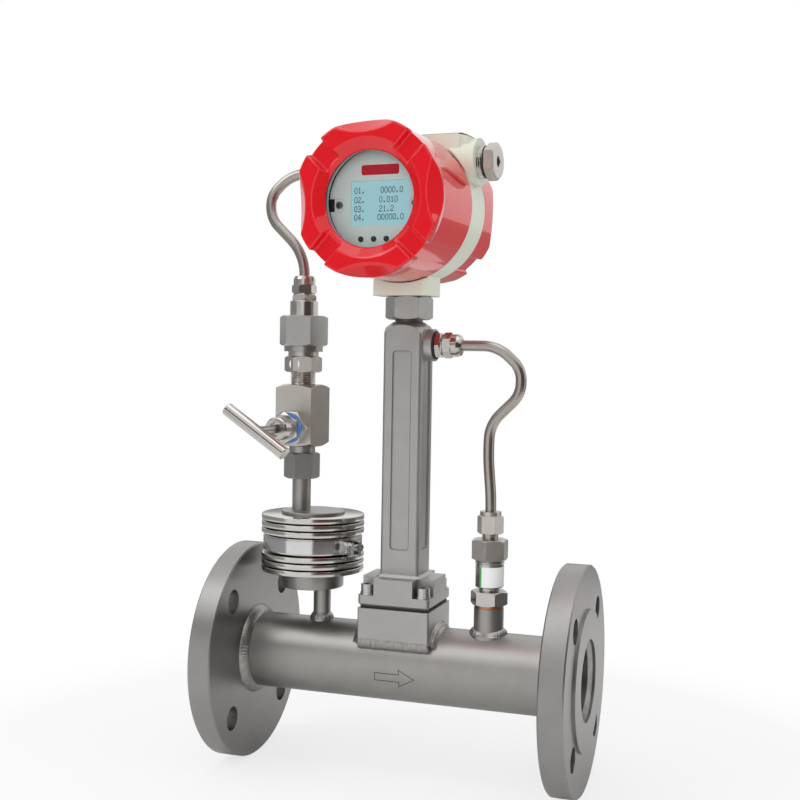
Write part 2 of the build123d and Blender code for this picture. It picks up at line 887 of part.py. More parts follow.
# Display: bezel plate, module, screws and buttons
bezel_back = bezel_front - bezel_thickness
display_board_front = display_board_back + board_thickness
with BuildPart() as display_bezel:
    with BuildSketch(barrel.offset(bezel_back)):
        Circle(bezel_radius)
        with Locations((lcd_x, lcd_y)):
            Rectangle(lcd_width, lcd_height, mode=Mode.SUBTRACT)
        with Locations(*((x, button_y) for x in button_positions)):
            Circle(button_diameter / 2 + running_fit, mode=Mode.SUBTRACT)
        with Locations((-tab_x, tab_y), (tab_x, tab_y)):
            Circle(display_screw_shank / 2 + running_fit, mode=Mode.SUBTRACT)
        for side in (-1, 1):
            with Locations((side * (tab_notch_x + bezel_radius) / 2, tab_y)):
                Rectangle(bezel_radius - tab_notch_x, tab_width, mode=Mode.SUBTRACT)
    extrude(amount=bezel_thickness)
    with BuildSketch(barrel.offset(bezel_front)):
        with Locations((-tab_notch_x, tab_y), (tab_notch_x, tab_y)):
            SlotOverall(2 * (tab_notch_x - tab_x) + tab_width, tab_width)
    extrude(amount=-tab_depth, mode=Mode.SUBTRACT)
pieces["display_bezel"] = display_bezel

with BuildPart() as lcd_module:
    with BuildSketch(barrel.offset(display_board_front)):
        with Locations((lcd_x, lcd_y)):
            Rectangle(lcd_width + 2 * lcd_frame, lcd_height + 2 * lcd_frame)
    extrude(amount=bezel_back - display_board_front)
    with BuildSketch(barrel.offset(bezel_back)):
        with Locations((lcd_x, lcd_y)):
            Rectangle(lcd_width - 2 * lcd_gap, lcd_height - 2 * lcd_gap)
    extrude(amount=bezel_thickness - lcd_recess)
pieces["lcd_module"] = lcd_module

tab_face = bezel_front - tab_depth
with BuildPart() as display_screws:
    with BuildSketch(barrel.offset(tab_face)):
        with Locations((-tab_x, tab_y), (tab_x, tab_y)):
            Circle(display_screw_head / 2)
    extrude(amount=display_screw_head_height)
    with BuildSketch(barrel.offset(tab_face)):
        with Locations((-tab_x, tab_y), (tab_x, tab_y)):
            Circle(display_screw_shank / 2)
    extrude(amount=-display_screw_length)
pieces["display_screws"] = display_screws

button_front = bezel_front + button_proud
button_back = button_front - button_length
for number, button_x in enumerate(button_positions, start=1):
    with BuildPart() as button:
        with BuildSketch(barrel.offset(button_back)):
            with Locations((button_x, button_y)):
                Circle(button_diameter / 2)
        extrude(amount=button_length)
        with BuildSketch(barrel.offset(bezel_back)):
            with Locations((button_x, button_y)):
                Circle(button_collar / 2)
        extrude(amount=-button_collar_thickness)
    pieces[f"button_{number}"] = button

# Circuit boards: display, main and terminal, each on hexagonal pillars
switch_top = button_back - button_travel - seat_gap
main_board_front = main_board_back + board_thickness
with BuildPart() as circuit_boards:
    with BuildSketch(barrel.offset(display_board_back)):
        Circle(display_board_radius)
    extrude(amount=board_thickness)
    with BuildSketch(barrel.offset(display_board_front)):
        with Locations(*((x, button_y) for x in button_positions)):
            Rectangle(switch_side, switch_side)
    extrude(amount=switch_top - display_board_front)
    with BuildSketch(barrel.offset(main_board_back)):
        Circle(main_board_radius)
    extrude(amount=board_thickness)
    with BuildSketch(barrel_back.offset(terminal_board_back)):
        Circle(main_board_radius)
    extrude(amount=board_thickness)
pieces["circuit_boards"] = circuit_boards

with BuildPart() as board_pillars:
    for pillar_base, pillar_low, pillar_high in (
        (barrel, partition_front, main_board_back),
        (barrel, main_board_front, display_board_back),
        (barrel_back, partition_rear, terminal_board_back),
    ):
        with BuildSketch(pillar_base.offset(pillar_low)):
            with PolarLocations(pillar_circle_radius, pillar_count, start_angle=90):
                RegularPolygon(pillar_flats / 2, 6, major_radius=False)
        extrude(amount=pillar_high - pillar_low)
pieces["board_pillars"] = board_pillars

terminal_low = terminal_board_back + board_thickness
with BuildPart() as terminal_block:
    with BuildSketch(barrel_back.offset(terminal_low)):
        Rectangle(terminal_width, terminal_depth)
    extrude(amount=terminal_height)
    with BuildSketch(barrel_back.offset(terminal_low + terminal_height)):
        with GridLocations(terminal_pitch, 0, terminal_count, 1):
            Rectangle(terminal_hole, terminal_hole)
    extrude(amount=-terminal_hole_depth, mode=Mode.SUBTRACT)
pieces["terminal_block"] = terminal_block

# Plate on the top block, its end bent down past the corner
plate_base = top_block_rise
tip_x = plate_tip * cos(radians(plate_tip_angle))
tip_drop = plate_tip * sin(radians(plate_tip_angle))
with BuildPart() as name_plate:
    with BuildSketch(barrel.offset(-plate_depth / 2 - (band_rear - band_front) / 2)):
        with BuildLine():
            Polyline(
                (-top_block_half, plate_base),
                (top_block_half, plate_base),
                (top_block_half + tip_x, plate_base - tip_drop),
                (top_block_half + tip_x, plate_base - tip_drop + plate_thickness),
                (top_block_half, plate_base + plate_thickness),
                (-top_block_half, plate_base + plate_thickness),
                close=True,
            )
        make_face()
    extrude(amount=plate_depth)
pieces["name_plate"] = name_plate

# Glands of the housing entries: a screwed hexagon each, the right one on a rubber bush
gland_seat = entry_reach + entry_gland_stand
gland_head_low = gland_seat + entry_ring_thickness
gland_head_high = gland_head_low + entry_gland_head
gland_shank_low = gland_head_low - entry_gland_shank
entry_bars = [
    hexagon_bar(entry, entry_gland_flats, gland_head_low, gland_head_high)
    for entry in (right_entry, left_entry)
]
with BuildPart() as entry_glands:
    add(entry_bars)
    for entry, hole in (
        (right_entry, cable_hole),
        (left_entry, conduit_diameter + 2 * conduit_fit),
    ):
        turn_rod(entry, gland_shank_low, gland_head_low, entry_thread_diameter)
        turn_rod(entry, gland_shank_low, gland_head_high, hole, Mode.SUBTRACT)
pieces["entry_glands"] = entry_glands

with BuildPart() as entry_bush:
    turn_ring(
        right_entry,
        gland_shank_low - bush_length,
        gland_shank_low,
        cable_hole,
        entry_thread_diameter - 2 * bush_gap,
    )
pieces["entry_bush"] = entry_bush

# Pressure stub, socketed in the cooler off its centre
cooler_base = Plane(origin=(cooler_x, 0, 0))
stack = Plane(
    origin=(stack_x, 0, 0),
    x_dir=(cos(radians(valve_turn)), -sin(radians(valve_turn)), 0),
    z_dir=(0, 0, 1),
)
with BuildPart() as pressure_stub:
    turn_ring(
        stub_axis,
        tube_bore / 2,
        cooler_bottom + socket_depth,
        impulse_bore,
        stub_diameter,
    )
    with BuildSketch(run):
        Circle(tube_radius + running_fit)
    extrude(amount=run_length, mode=Mode.SUBTRACT)
pieces["pressure_stub"] = pressure_stub

# Cooler: a turned fin stack with a plain land for the clamp band
fin_pitch = fin_thickness + fin_gap
collar_top = cooler_bottom + cooler_collar_height
land_low = collar_top + fins_below * fin_pitch
land_high = land_low + land_height
fins_top = land_high + fins_above * fin_pitch
cooler_top = fins_top + cooler_cap_height
cooler_outline = [(cooler_bottom, 0), (cooler_bottom, cooler_collar_radius)]
cooler_outline += [(collar_top, cooler_collar_radius)]
fin_starts = [collar_top + fin_pitch * n for n in range(fins_below)]
fin_starts += [land_high + fin_gap + fin_pitch * n for n in range(fins_above)]
for fin_low in fin_starts:
    fin_high = fin_low + fin_thickness
    if fin_low > land_low > fin_low - fin_pitch - land_height:
        cooler_outline += [(land_low, cooler_core_radius), (land_low, land_radius)]
        cooler_outline += [(land_high, land_radius), (land_high, cooler_core_radius)]
    cooler_outline += [(fin_low, cooler_core_radius), (fin_low, fin_radius)]
    cooler_outline += [(fin_high, fin_radius), (fin_high, cooler_core_radius)]
cooler_outline += [
    (fins_top, cooler_cap_radius),
    (cooler_top - cooler_cap_round, cooler_cap_radius),
    (cooler_top, cooler_cap_radius - cooler_cap_round),
    (cooler_top, 0),
]
cross_z = (land_low + land_high) / 2
with BuildPart() as cooler:
    turn(cooler_base, cooler_outline)
    turn_rod(
        stub_axis,
        cooler_bottom,
        cooler_bottom + socket_depth,
        stub_diameter + 2 * running_fit,
        Mode.SUBTRACT,
    )
    turn_rod(stub_axis, cooler_bottom, cross_z, impulse_bore, Mode.SUBTRACT)
    turn_rod(
        stack,
        cooler_top - socket_depth,
        cooler_top,
        riser_diameter + 2 * running_fit,
        Mode.SUBTRACT,
    )
    turn_rod(stack, cross_z, cooler_top, impulse_bore, Mode.SUBTRACT)
    cross_axis = Plane(origin=(stack_x, 0, cross_z), x_dir=(0, 1, 0), z_dir=(1, 0, 0))
    turn_rod(cross_axis, 0, stub_x - stack_x, impulse_bore, Mode.SUBTRACT)
pieces["cooler"] = cooler

# Clamp band round the land, with a bolt and nut through its ears
band_low = (land_low + land_high - band_width) / 2
band_out = radians(band_angle)
band_base = Plane(
    origin=(cooler_x, 0, band_low),
    x_dir=(cos(band_out), -sin(band_out), 0),
    z_dir=(0, 0, 1),
)
band_inner = land_radius + seat_gap
band_outer = band_inner + band_thickness
ear_centre = band_outer + band_ear_length / 2
ear_y = band_split / 2 + band_ear_thickness / 2
bolt_radius = band_outer + band_bolt_reach
with BuildPart() as clamp_band:
    with BuildSketch(band_base):
        Circle(band_outer)
        for side in (-1, 1):
            with Locations((ear_centre - band_thickness, side * ear_y)):
                Rectangle(band_ear_length + 2 * band_thickness, band_ear_thickness)
        Circle(band_inner, mode=Mode.SUBTRACT)
        with Locations((band_outer, 0)):
            Rectangle(band_ear_length, band_split, mode=Mode.SUBTRACT)
    extrude(amount=band_width)
    bolt_axis = Plane(
        origin=band_base.origin + band_base.x_dir * bolt_radius + Vector(0, 0, band_width / 2),
        x_dir=(0, 0, 1),
        z_dir=band_base.y_dir,
    )
    ear_outside = band_split / 2 + band_ear_thickness
    turn_rod(bolt_axis, -ear_outside, ear_outside, band_bolt + 2 * seat_gap, Mode.SUBTRACT)
pieces["clamp_band"] = clamp_band

clamp_heads = [
    hexagon_bar(bolt_axis, band_bolt_flats, -ear_outside - band_bolt_head, -ear_outside),
    hexagon_bar(bolt_axis, band_bolt_flats, ear_outside, ear_outside + band_bolt_head),
]
bolt_end = ear_outside + band_bolt_head + band_bolt_tail
with BuildPart() as clamp_bolt:
    add(clamp_heads[0])
    turn_rod(bolt_axis, -ear_outside, bolt_end, band_bolt)
pieces["clamp_bolt"] = clamp_bolt

with BuildPart() as clamp_nut:
    add(clamp_heads[1])
    turn_rod(
        bolt_axis,
        ear_outside,
        ear_outside + band_bolt_head,
        band_bolt + 2 * running_fit,
        Mode.SUBTRACT,
    )
pieces["clamp_nut"] = clamp_nut

# Riser pipe and the nut that screws it to the valve
riser_low = cooler_top - socket_depth
riser_nut_low = cooler_top + riser_free
riser_nut_high = riser_nut_low + riser_nut_height
valve_low = riser_nut_high + riser_shoulder_height
valve_high = valve_low + valve_height
with BuildPart() as riser_pipe:
    turn_ring(stack, riser_low, riser_nut_low + riser_seat_depth, impulse_bore, riser_diameter)
pieces["riser_pipe"] = riser_pipe

riser_bar = hexagon_bar(stack, riser_nut_flats, riser_nut_low, riser_nut_high, turned=riser_nut_turn)
with BuildPart() as riser_nut:
    add(riser_bar)
    turn_rod(stack, riser_nut_high, valve_low, riser_shoulder_diameter)
    turn_rod(stack, valve_low, valve_low + riser_spigot_height, riser_spigot)
    turn_rod(
        stack,
        riser_nut_low,
        riser_nut_low + riser_seat_depth,
        riser_diameter + 2 * running_fit,
        Mode.SUBTRACT,
    )
    turn_rod(stack, riser_nut_low, valve_low + riser_spigot_height, impulse_bore, Mode.SUBTRACT)
pieces["riser_nut"] = riser_nut

# Needle valve body
valve_z = valve_low + valve_stem_height
stem_out = stack.y_dir * -1
stem = Plane(origin=(stack_x, 0, valve_z), x_dir=stack.x_dir, z_dir=stem_out)
valve_face = valve_depth / 2
crown_reach = hypot(valve_width, valve_depth) / 2 + cut_over
crown_rise = (crown_reach - valve_crown_radius) * tan(radians(valve_crown_angle))
with BuildPart() as valve_body:
    with BuildSketch(stack.offset(valve_low)):
        Rectangle(valve_width, valve_depth)
    extrude(amount=valve_height)
    turn(
        stack,
        (
            (valve_low, 0),
            (valve_low, valve_crown_radius),
            (valve_low + crown_rise, crown_reach),
            (valve_high - crown_rise, crown_reach),
            (valve_high, valve_crown_radius),
            (valve_high, 0),
        ),
        Mode.INTERSECT,
    )
    turn_rod(
        stack,
        valve_low,
        valve_low + riser_spigot_height,
        riser_spigot + 2 * running_fit,
        Mode.SUBTRACT,
    )
    turn_rod(
        stack,
        valve_high - connector_spigot_depth,
        valve_high,
        connector_spigot + 2 * running_fit,
        Mode.SUBTRACT,
    )
    turn_rod(
        stem,
        valve_face - bonnet_spigot_length,
        valve_face,
        bonnet_spigot + 2 * running_fit,
        Mode.SUBTRACT,
    )
    turn_rod(stem, impulse_bore / 2, valve_face, valve_chamber, Mode.SUBTRACT)
    turn_rod(stem, -valve_face / 2, impulse_bore, orifice_diameter, Mode.SUBTRACT)
    inlet_drill = Plane(origin=stack.origin + stack.y_dir * (valve_face / 2), z_dir=(0, 0, 1))
    outlet_drill = Plane(origin=stack.origin + stem_out * (valve_face / 3), z_dir=(0, 0, 1))
    turn_rod(inlet_drill, valve_low, valve_z, orifice_diameter, Mode.SUBTRACT)
    turn_rod(outlet_drill, valve_z, valve_high, orifice_diameter, Mode.SUBTRACT)
pieces["valve_body"] = valve_body

# Bonnet, marker ring, lock nut and packing gland along the stem
bonnet_high = valve_face + bonnet_hexagon
marker_high = bonnet_high + marker_ring_width
lock_high = marker_high + lock_width
packing_high = lock_high + packing_length
thread_high = packing_high - packing_recess_depth - packing_wall
bonnet_bar = hexagon_bar(stem, bonnet_flats, valve_face, bonnet_high, chamfer_low=False)
with BuildPart() as valve_bonnet:
    add(bonnet_bar)
    turn_rod(stem, valve_face - bonnet_spigot_length, valve_face, bonnet_spigot)
    turn_rod(stem, bonnet_high, thread_high - seat_gap, bonnet_thread)
    turn_rod(
        stem,
        valve_face - bonnet_spigot_length,
        thread_high - seat_gap,
        stem_diameter + 2 * stem_guide_gap,
        Mode.SUBTRACT,
    )
pieces["valve_bonnet"] = valve_bonnet

with BuildPart() as marker_ring:
    turn_ring(
        stem,
        bonnet_high,
        marker_high,
        bonnet_thread + 2 * running_fit,
        marker_ring_diameter,
    )
pieces["marker_ring"] = marker_ring

lock_bar = hexagon_bar(stem, lock_flats, marker_high, lock_high, turned=hexagon_chamfer)
with BuildPart() as lock_nut:
    add(lock_bar)
    turn_rod(stem, marker_high, lock_high, bonnet_thread + 2 * running_fit, Mode.SUBTRACT)
pieces["lock_nut"] = lock_nut

with BuildPart() as packing_gland:
    turn(
        stem,
        (
            (lock_high, bonnet_thread / 2 + running_fit),
            (lock_high, packing_diameter / 2),
            (packing_high - well_edge, packing_diameter / 2),
            (packing_high, packing_diameter / 2 - well_edge),
            (packing_high, packing_recess / 2),
            (packing_high - packing_recess_depth, packing_recess / 2),
            (packing_high - packing_recess_depth, stem_diameter / 2 + stem_guide_gap),
            (thread_high, stem_diameter / 2 + stem_guide_gap),
            (thread_high, bonnet_thread / 2 + running_fit),
        ),
    )
pieces["packing_gland"] = packing_gland

# Stem with its needle, and the bar handle across its end
stem_end = handle_centre + stem_grip
needle_root = impulse_bore + needle_length
with BuildPart() as valve_stem:
    turn(
        stem,
        (
            (impulse_bore, 0),
            (impulse_bore, orifice_diameter / 4),
            (needle_root - orifice_diameter, needle_diameter / 2),
            (needle_root, needle_diameter / 2),
            (needle_root, stem_diameter / 2),
            (stem_end, stem_diameter / 2),
            (stem_end, 0),
        ),
    )
pieces["valve_stem"] = valve_stem

tilt = radians(handle_tilt)
bar_direction = stack.x_dir * cos(tilt) + Vector(0, 0, -sin(tilt))
handle_axis = Plane(origin=stem.origin + stem_out * handle_centre, z_dir=bar_direction)
half_bar = handle_length / 2
with BuildPart() as valve_handle:
    turn(
        handle_axis,
        (
            (-half_bar, 0),
            (-half_bar, handle_diameter / 2 - handle_edge),
            (-half_bar + handle_edge, handle_diameter / 2),
            (half_bar - handle_edge, handle_diameter / 2),
            (half_bar, handle_diameter / 2 - handle_edge),
            (half_bar, 0),
        ),
    )
    turn_rod(
        stem,
        handle_centre - handle_diameter,
        stem_end + seat_gap,
        stem_diameter + 2 * running_fit,
        Mode.SUBTRACT,
    )
pieces["valve_handle"] = valve_handle

# Pressure sensor: connector, hexagon body with its vent, cap
connector_low = valve_high + connector_thread_show
connector_high = connector_low + connector_hexagon
ring_low = connector_high + connector_neck_height
sensor_low = ring_low + sensor_ring_height
sensor_high = sensor_low + sensor_hexagon
cap_high = sensor_high + sensor_cap_height
connector_bar = hexagon_bar(
    stack, connector_flats, connector_low, connector_high, turned=connector_turn
)
with BuildPart() as gauge_connector:
    add(connector_bar)
    turn_rod(stack, valve_high - connector_spigot_depth, connector_low, connector_spigot)
    turn_rod(stack, connector_high, ring_low, connector_neck)
    turn_rod(stack, ring_low, ring_low + connector_pin_height, connector_pin)
    turn_rod(
        stack,
        valve_high - connector_spigot_depth,
        ring_low + connector_pin_height,
        orifice_diameter,
        Mode.SUBTRACT,
    )
pieces["gauge_connector"] = gauge_connector

sensor_bar = hexagon_bar(stack, sensor_flats, sensor_low, sensor_high, turned=sensor_turn)
vent_angle = radians(sensor_turn - 120)
vent_out = stack.x_dir * cos(vent_angle) + stack.y_dir * sin(vent_angle)
with BuildPart() as pressure_sensor_body:
    add(sensor_bar)
    turn_rod(stack, ring_low, sensor_low, sensor_ring_diameter)
    turn_rod(
        stack,
        ring_low,
        ring_low + connector_pin_height + seat_gap,
        connector_pin + 2 * running_fit,
        Mode.SUBTRACT,
    )
    turn_rod(
        stack,
        sensor_high - sensor_cap_depth,
        sensor_high,
        sensor_cavity + 2 * running_fit,
        Mode.SUBTRACT,
    )
    vent = Plane(
        origin=stack.origin + Vector(0, 0, sensor_high - vent_drop) + vent_out * (sensor_flats / 2),
        z_dir=vent_out,
    )
    turn_rod(vent, -vent_depth, cut_over, vent_diameter, Mode.SUBTRACT)
pieces["pressure_sensor_body"] = pressure_sensor_body

with BuildPart() as pressure_sensor_cap:
    turn(
        stack,
        (
            (sensor_high - sensor_cap_depth, gland_thread / 2 + running_fit),
            (sensor_high - sensor_cap_depth, sensor_cavity / 2),
            (sensor_high, sensor_cavity / 2),
            (sensor_high, sensor_cap_diameter / 2),
            (cap_high - handle_edge, sensor_cap_diameter / 2),
            (cap_high, sensor_cap_diameter / 2 - handle_edge),
            (cap_high, gland_thread / 2 + running_fit),
        ),
    )
pieces["pressure_sensor_cap"] = pressure_sensor_cap

# Conduit glands: one on the sensor cap, one on the column's side boss
cap_gland = stack.offset(cap_high)
side_gland = side_axis.offset(side_boss_reach + gland_washer_thickness)
gland_bars = [hexagon_bar(base, gland_flats, 0, gland_base) for base in (cap_gland, side_gland)]
collar_high = gland_base + gland_collar_height
nut_high = collar_high + gland_nut_height
dome_high = nut_high + gland_dome_height
neck_high = collar_high + gland_neck_height
conduit_hole = conduit_diameter + 2 * conduit_fit
with BuildPart() as conduit_gland_bodies:
    add(gland_bars)
    for base in (cap_gland, side_gland):
        turn_rod(base, -gland_thread_length, 0, gland_thread)
        turn_rod(base, gland_base, collar_high, gland_collar)
        turn_rod(base, collar_high, neck_high, gland_neck)
        turn_rod(base, -gland_thread_length, neck_high, conduit_hole, Mode.SUBTRACT)
pieces["conduit_gland_bodies"] = conduit_gland_bodies

nut_bars = [
    hexagon_bar(base, gland_nut_flats, collar_high, nut_high, turned=hexagon_chamfer)
    for base in (cap_gland, side_gland)
]
dome_radius = gland_dome_diameter / 2
dome_shoulder = gland_dome_round * (1 - cos(radians(45)))
with BuildPart() as conduit_gland_nuts:
    add(nut_bars)
    for base in (cap_gland, side_gland):
        turn(
            base,
            (
                (nut_high, 0),
                (nut_high, dome_radius),
                (dome_high - gland_dome_round, dome_radius),
                (dome_high - dome_shoulder, dome_radius - dome_shoulder),
                (dome_high, dome_radius - gland_dome_round),
                (dome_high, 0),
            ),
        )
        neck_room = gland_neck + 2 * running_fit
        turn_rod(base, collar_high, neck_high + seat_gap, neck_room, Mode.SUBTRACT)
        turn_rod(base, collar_high, dome_high, conduit_hole, Mode.SUBTRACT)
pieces["conduit_gland_nuts"] = conduit_gland_nuts

# Black sealing rings: both housing entries and the side boss
with BuildPart() as sealing_rings:
    for entry in (right_entry, left_entry):
        turn_ring(
            entry,
            gland_seat,
            gland_head_low,
            entry_thread_diameter + 2 * running_fit,
            2 * entry_ring_radius,
        )
    turn_ring(
        side_axis,
        side_boss_reach,
        side_boss_reach + gland_washer_thickness,
        gland_thread + 2 * running_fit,
        gland_washer_diameter,
    )
pieces["sealing_rings"] = sealing_rings

# Temperature branch: boss, copper washer, well
copper_top = boss_top + copper_thickness
well_hexagon_top = copper_top + well_hexagon
waist_top = well_hexagon_top + well_waist_height
union_low = waist_top + well_show
union_high = union_low + union_height
well_top = union_low + union_cover
with BuildPart() as temperature_boss:
    turn_ring(temperature, 0, boss_top, well_shank + 2 * running_fit, boss_diameter)
    with BuildSketch(run):
        Circle(tube_radius + running_fit)
    extrude(amount=run_length, mode=Mode.SUBTRACT)
pieces["temperature_boss"] = temperature_boss

with BuildPart() as copper_washer:
    turn_ring(temperature, boss_top, copper_top, well_shank + 2 * seat_gap, copper_diameter)
pieces["copper_washer"] = copper_washer

well_bar = hexagon_bar(
    temperature, well_flats, copper_top, well_hexagon_top, turned=well_hexagon_turn
)
with BuildPart() as temperature_well:
    add(well_bar)
    turn_rod(temperature, copper_top - well_shank_length, copper_top, well_shank)
    turn_rod(temperature, well_hexagon_top, waist_top, well_waist)
    turn(
        temperature,
        (
            (waist_top, 0),
            (waist_top, well_waist / 2 + well_edge),
            (waist_top + well_edge, well_diameter / 2),
            (well_top - well_edge, well_diameter / 2),
            (well_top, well_diameter / 2 - well_edge),
            (well_top, 0),
        ),
    )
    turn_rod(
        temperature,
        copper_top - well_shank_length,
        well_top,
        sheath_diameter + 2 * running_fit,
        Mode.SUBTRACT,
    )
pieces["temperature_well"] = temperature_well

# Probe: sheath in the well, collar under the union nut, neck to the top nut
tail_thread_low = union_high + tail_neck_show
tail_high = tail_thread_low + tail_thread_height
with BuildPart() as temperature_probe:
    turn(
        temperature,
        (
            (sheath_tip, 0),
            (sheath_tip, sheath_diameter / 3),
            (sheath_tip + cut_over, sheath_diameter / 2),
            (well_top, sheath_diameter / 2),
            (well_top, tail_collar / 2),
            (well_top + tail_collar_height, tail_collar / 2),
            (well_top + tail_collar_height, tail_neck / 2),
            (tail_high, tail_neck / 2),
            (tail_high, 0),
        ),
    )
pieces["temperature_probe"] = temperature_probe

union_bar = hexagon_bar(temperature, union_flats, union_low, union_high, turned=union_turn)
with BuildPart() as union_nut:
    add(union_bar)
    turn_rod(
        temperature,
        union_low,
        well_top + tail_collar_height,
        well_diameter + 2 * running_fit,
        Mode.SUBTRACT,
    )
    turn_rod(temperature, union_low, union_high, tail_neck + 2 * running_fit, Mode.SUBTRACT)
pieces["union_nut"] = union_nut

top_nut_high = tail_thread_low + top_nut_height
top_high = top_nut_high + top_ring_height
top_bar = hexagon_bar(
    temperature, top_nut_flats, tail_thread_low, top_nut_high, turned=top_nut_turn
)
with BuildPart() as top_nut:
    add(top_bar)
    turn_rod(temperature, top_nut_high, top_high, top_ring_diameter)
    turn_rod(
        temperature, tail_thread_low, tail_high, tail_neck + 2 * running_fit, Mode.SUBTRACT
    )
    turn_rod(temperature, tail_high, top_high, conduit_hole, Mode.SUBTRACT)
pieces["top_nut"] = top_nut


def bend_radii(route):
    """Radii of a route's corners: each is the largest that its two runs leave room for."""
    corners = [Vector(*point) for point in route]
    radii = []
    for before, corner, after in zip(corners, corners[1:], corners[2:]):
        arriving = corner - before
        leaving = after - corner
        turned = radians(arriving.get_angle(leaving))
        shorter = min(arriving.length, leaving.length)
        radii.append(conduit_bend_share * shorter / tan(turned / 2))
    return radii


def bend_conduit(route):
    """A conduit swept along straight runs joined by tangent arcs."""
    with BuildLine() as path:
        FilletPolyline(*route, radius=bend_radii(route))
    with BuildSketch(Plane(origin=path.line @ 0, z_dir=path.line % 0)) as section:
        Circle(conduit_diameter / 2)
    sweep(section.sketch, path=path.line)


# Pressure conduit, from the sensor cap round the left of the housing to its left entry
left_mouth = left_entry.origin + left_entry.z_dir * gland_shank_low
left_turn = left_entry.origin + left_entry.z_dir * (gland_head_high + conduit_straight)
pressure_route = (
    (stack_x, 0, cap_high),
    (stack_x, 0, cap_high + dome_high + 2 * conduit_diameter),
    *pressure_bends,
    (left_turn.X, left_turn.Y, left_turn.Z),
    (left_mouth.X, left_mouth.Y, left_mouth.Z),
)
with BuildPart() as pressure_conduit:
    bend_conduit(pressure_route)
pieces["pressure_conduit"] = pressure_conduit

# Temperature conduit, from the side boss over and down to the probe
temperature_route = (
    (sensor_x + side_boss_reach, 0, side_boss_z),
    (sensor_x + temperature_reach, 0, side_boss_z),
    *((temperature_x + ahead, 0, height) for ahead, height in temperature_bends),
    (temperature_x, 0, top_high + conduit_straight),
    (temperature_x, 0, tail_high),
)
with BuildPart() as temperature_conduit:
    bend_conduit(temperature_route)
pieces["temperature_conduit"] = temperature_conduit

for name, piece in pieces.items():
    piece.part.label = name
    export_step(piece.part, f"parts/{name}.step")
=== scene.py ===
"""Looks of a flanged vortex flow meter: finishes, fine surfaces and a plain studio.

Sizes are written in millimetres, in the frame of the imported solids: the origin is the centre of
the inlet face, +X runs with the flow and +Z is up. Points become metres when a mesh is made.
"""

import logging
import math
from dataclasses import dataclass, field
from enum import Enum

import bmesh
import bpy
import numpy as np
from mathutils import Matrix, Vector


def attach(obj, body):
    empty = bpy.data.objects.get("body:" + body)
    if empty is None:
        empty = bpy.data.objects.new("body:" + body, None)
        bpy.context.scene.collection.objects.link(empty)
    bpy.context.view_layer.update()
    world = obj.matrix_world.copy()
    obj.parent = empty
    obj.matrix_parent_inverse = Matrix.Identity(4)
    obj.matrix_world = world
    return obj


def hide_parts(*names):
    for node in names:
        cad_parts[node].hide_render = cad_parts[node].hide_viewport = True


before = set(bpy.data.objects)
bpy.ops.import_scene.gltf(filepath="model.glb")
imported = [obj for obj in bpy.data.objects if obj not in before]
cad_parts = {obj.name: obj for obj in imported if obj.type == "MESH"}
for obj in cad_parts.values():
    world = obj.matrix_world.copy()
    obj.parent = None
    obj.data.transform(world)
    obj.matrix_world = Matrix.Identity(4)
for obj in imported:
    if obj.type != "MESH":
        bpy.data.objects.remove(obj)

LOG = logging.getLogger("flow_meter")
MILLIMETRE = 0.001
SHARP_ANGLE = math.radians(32)
COVER_SHARP_ANGLE = math.radians(70)

Vec = tuple[float, float, float]
Profile = list[tuple[float, float]]


class Body(Enum):
    """Rigid bodies that the pieces ride on."""

    METER = "meter"
    FRONT_COVER = "front_cover"
    REAR_COVER = "rear_cover"
    VALVE_HANDLE = "valve_handle"


class Grain(Enum):
    """How a finish is worked: the stretch of its noise along X, Y and Z."""

    EVEN = (1.0, 1.0, 1.0)
    TURNED_UPRIGHT = (0.05, 0.05, 6.0)
    DRAWN_UPRIGHT = (5.0, 5.0, 0.08)


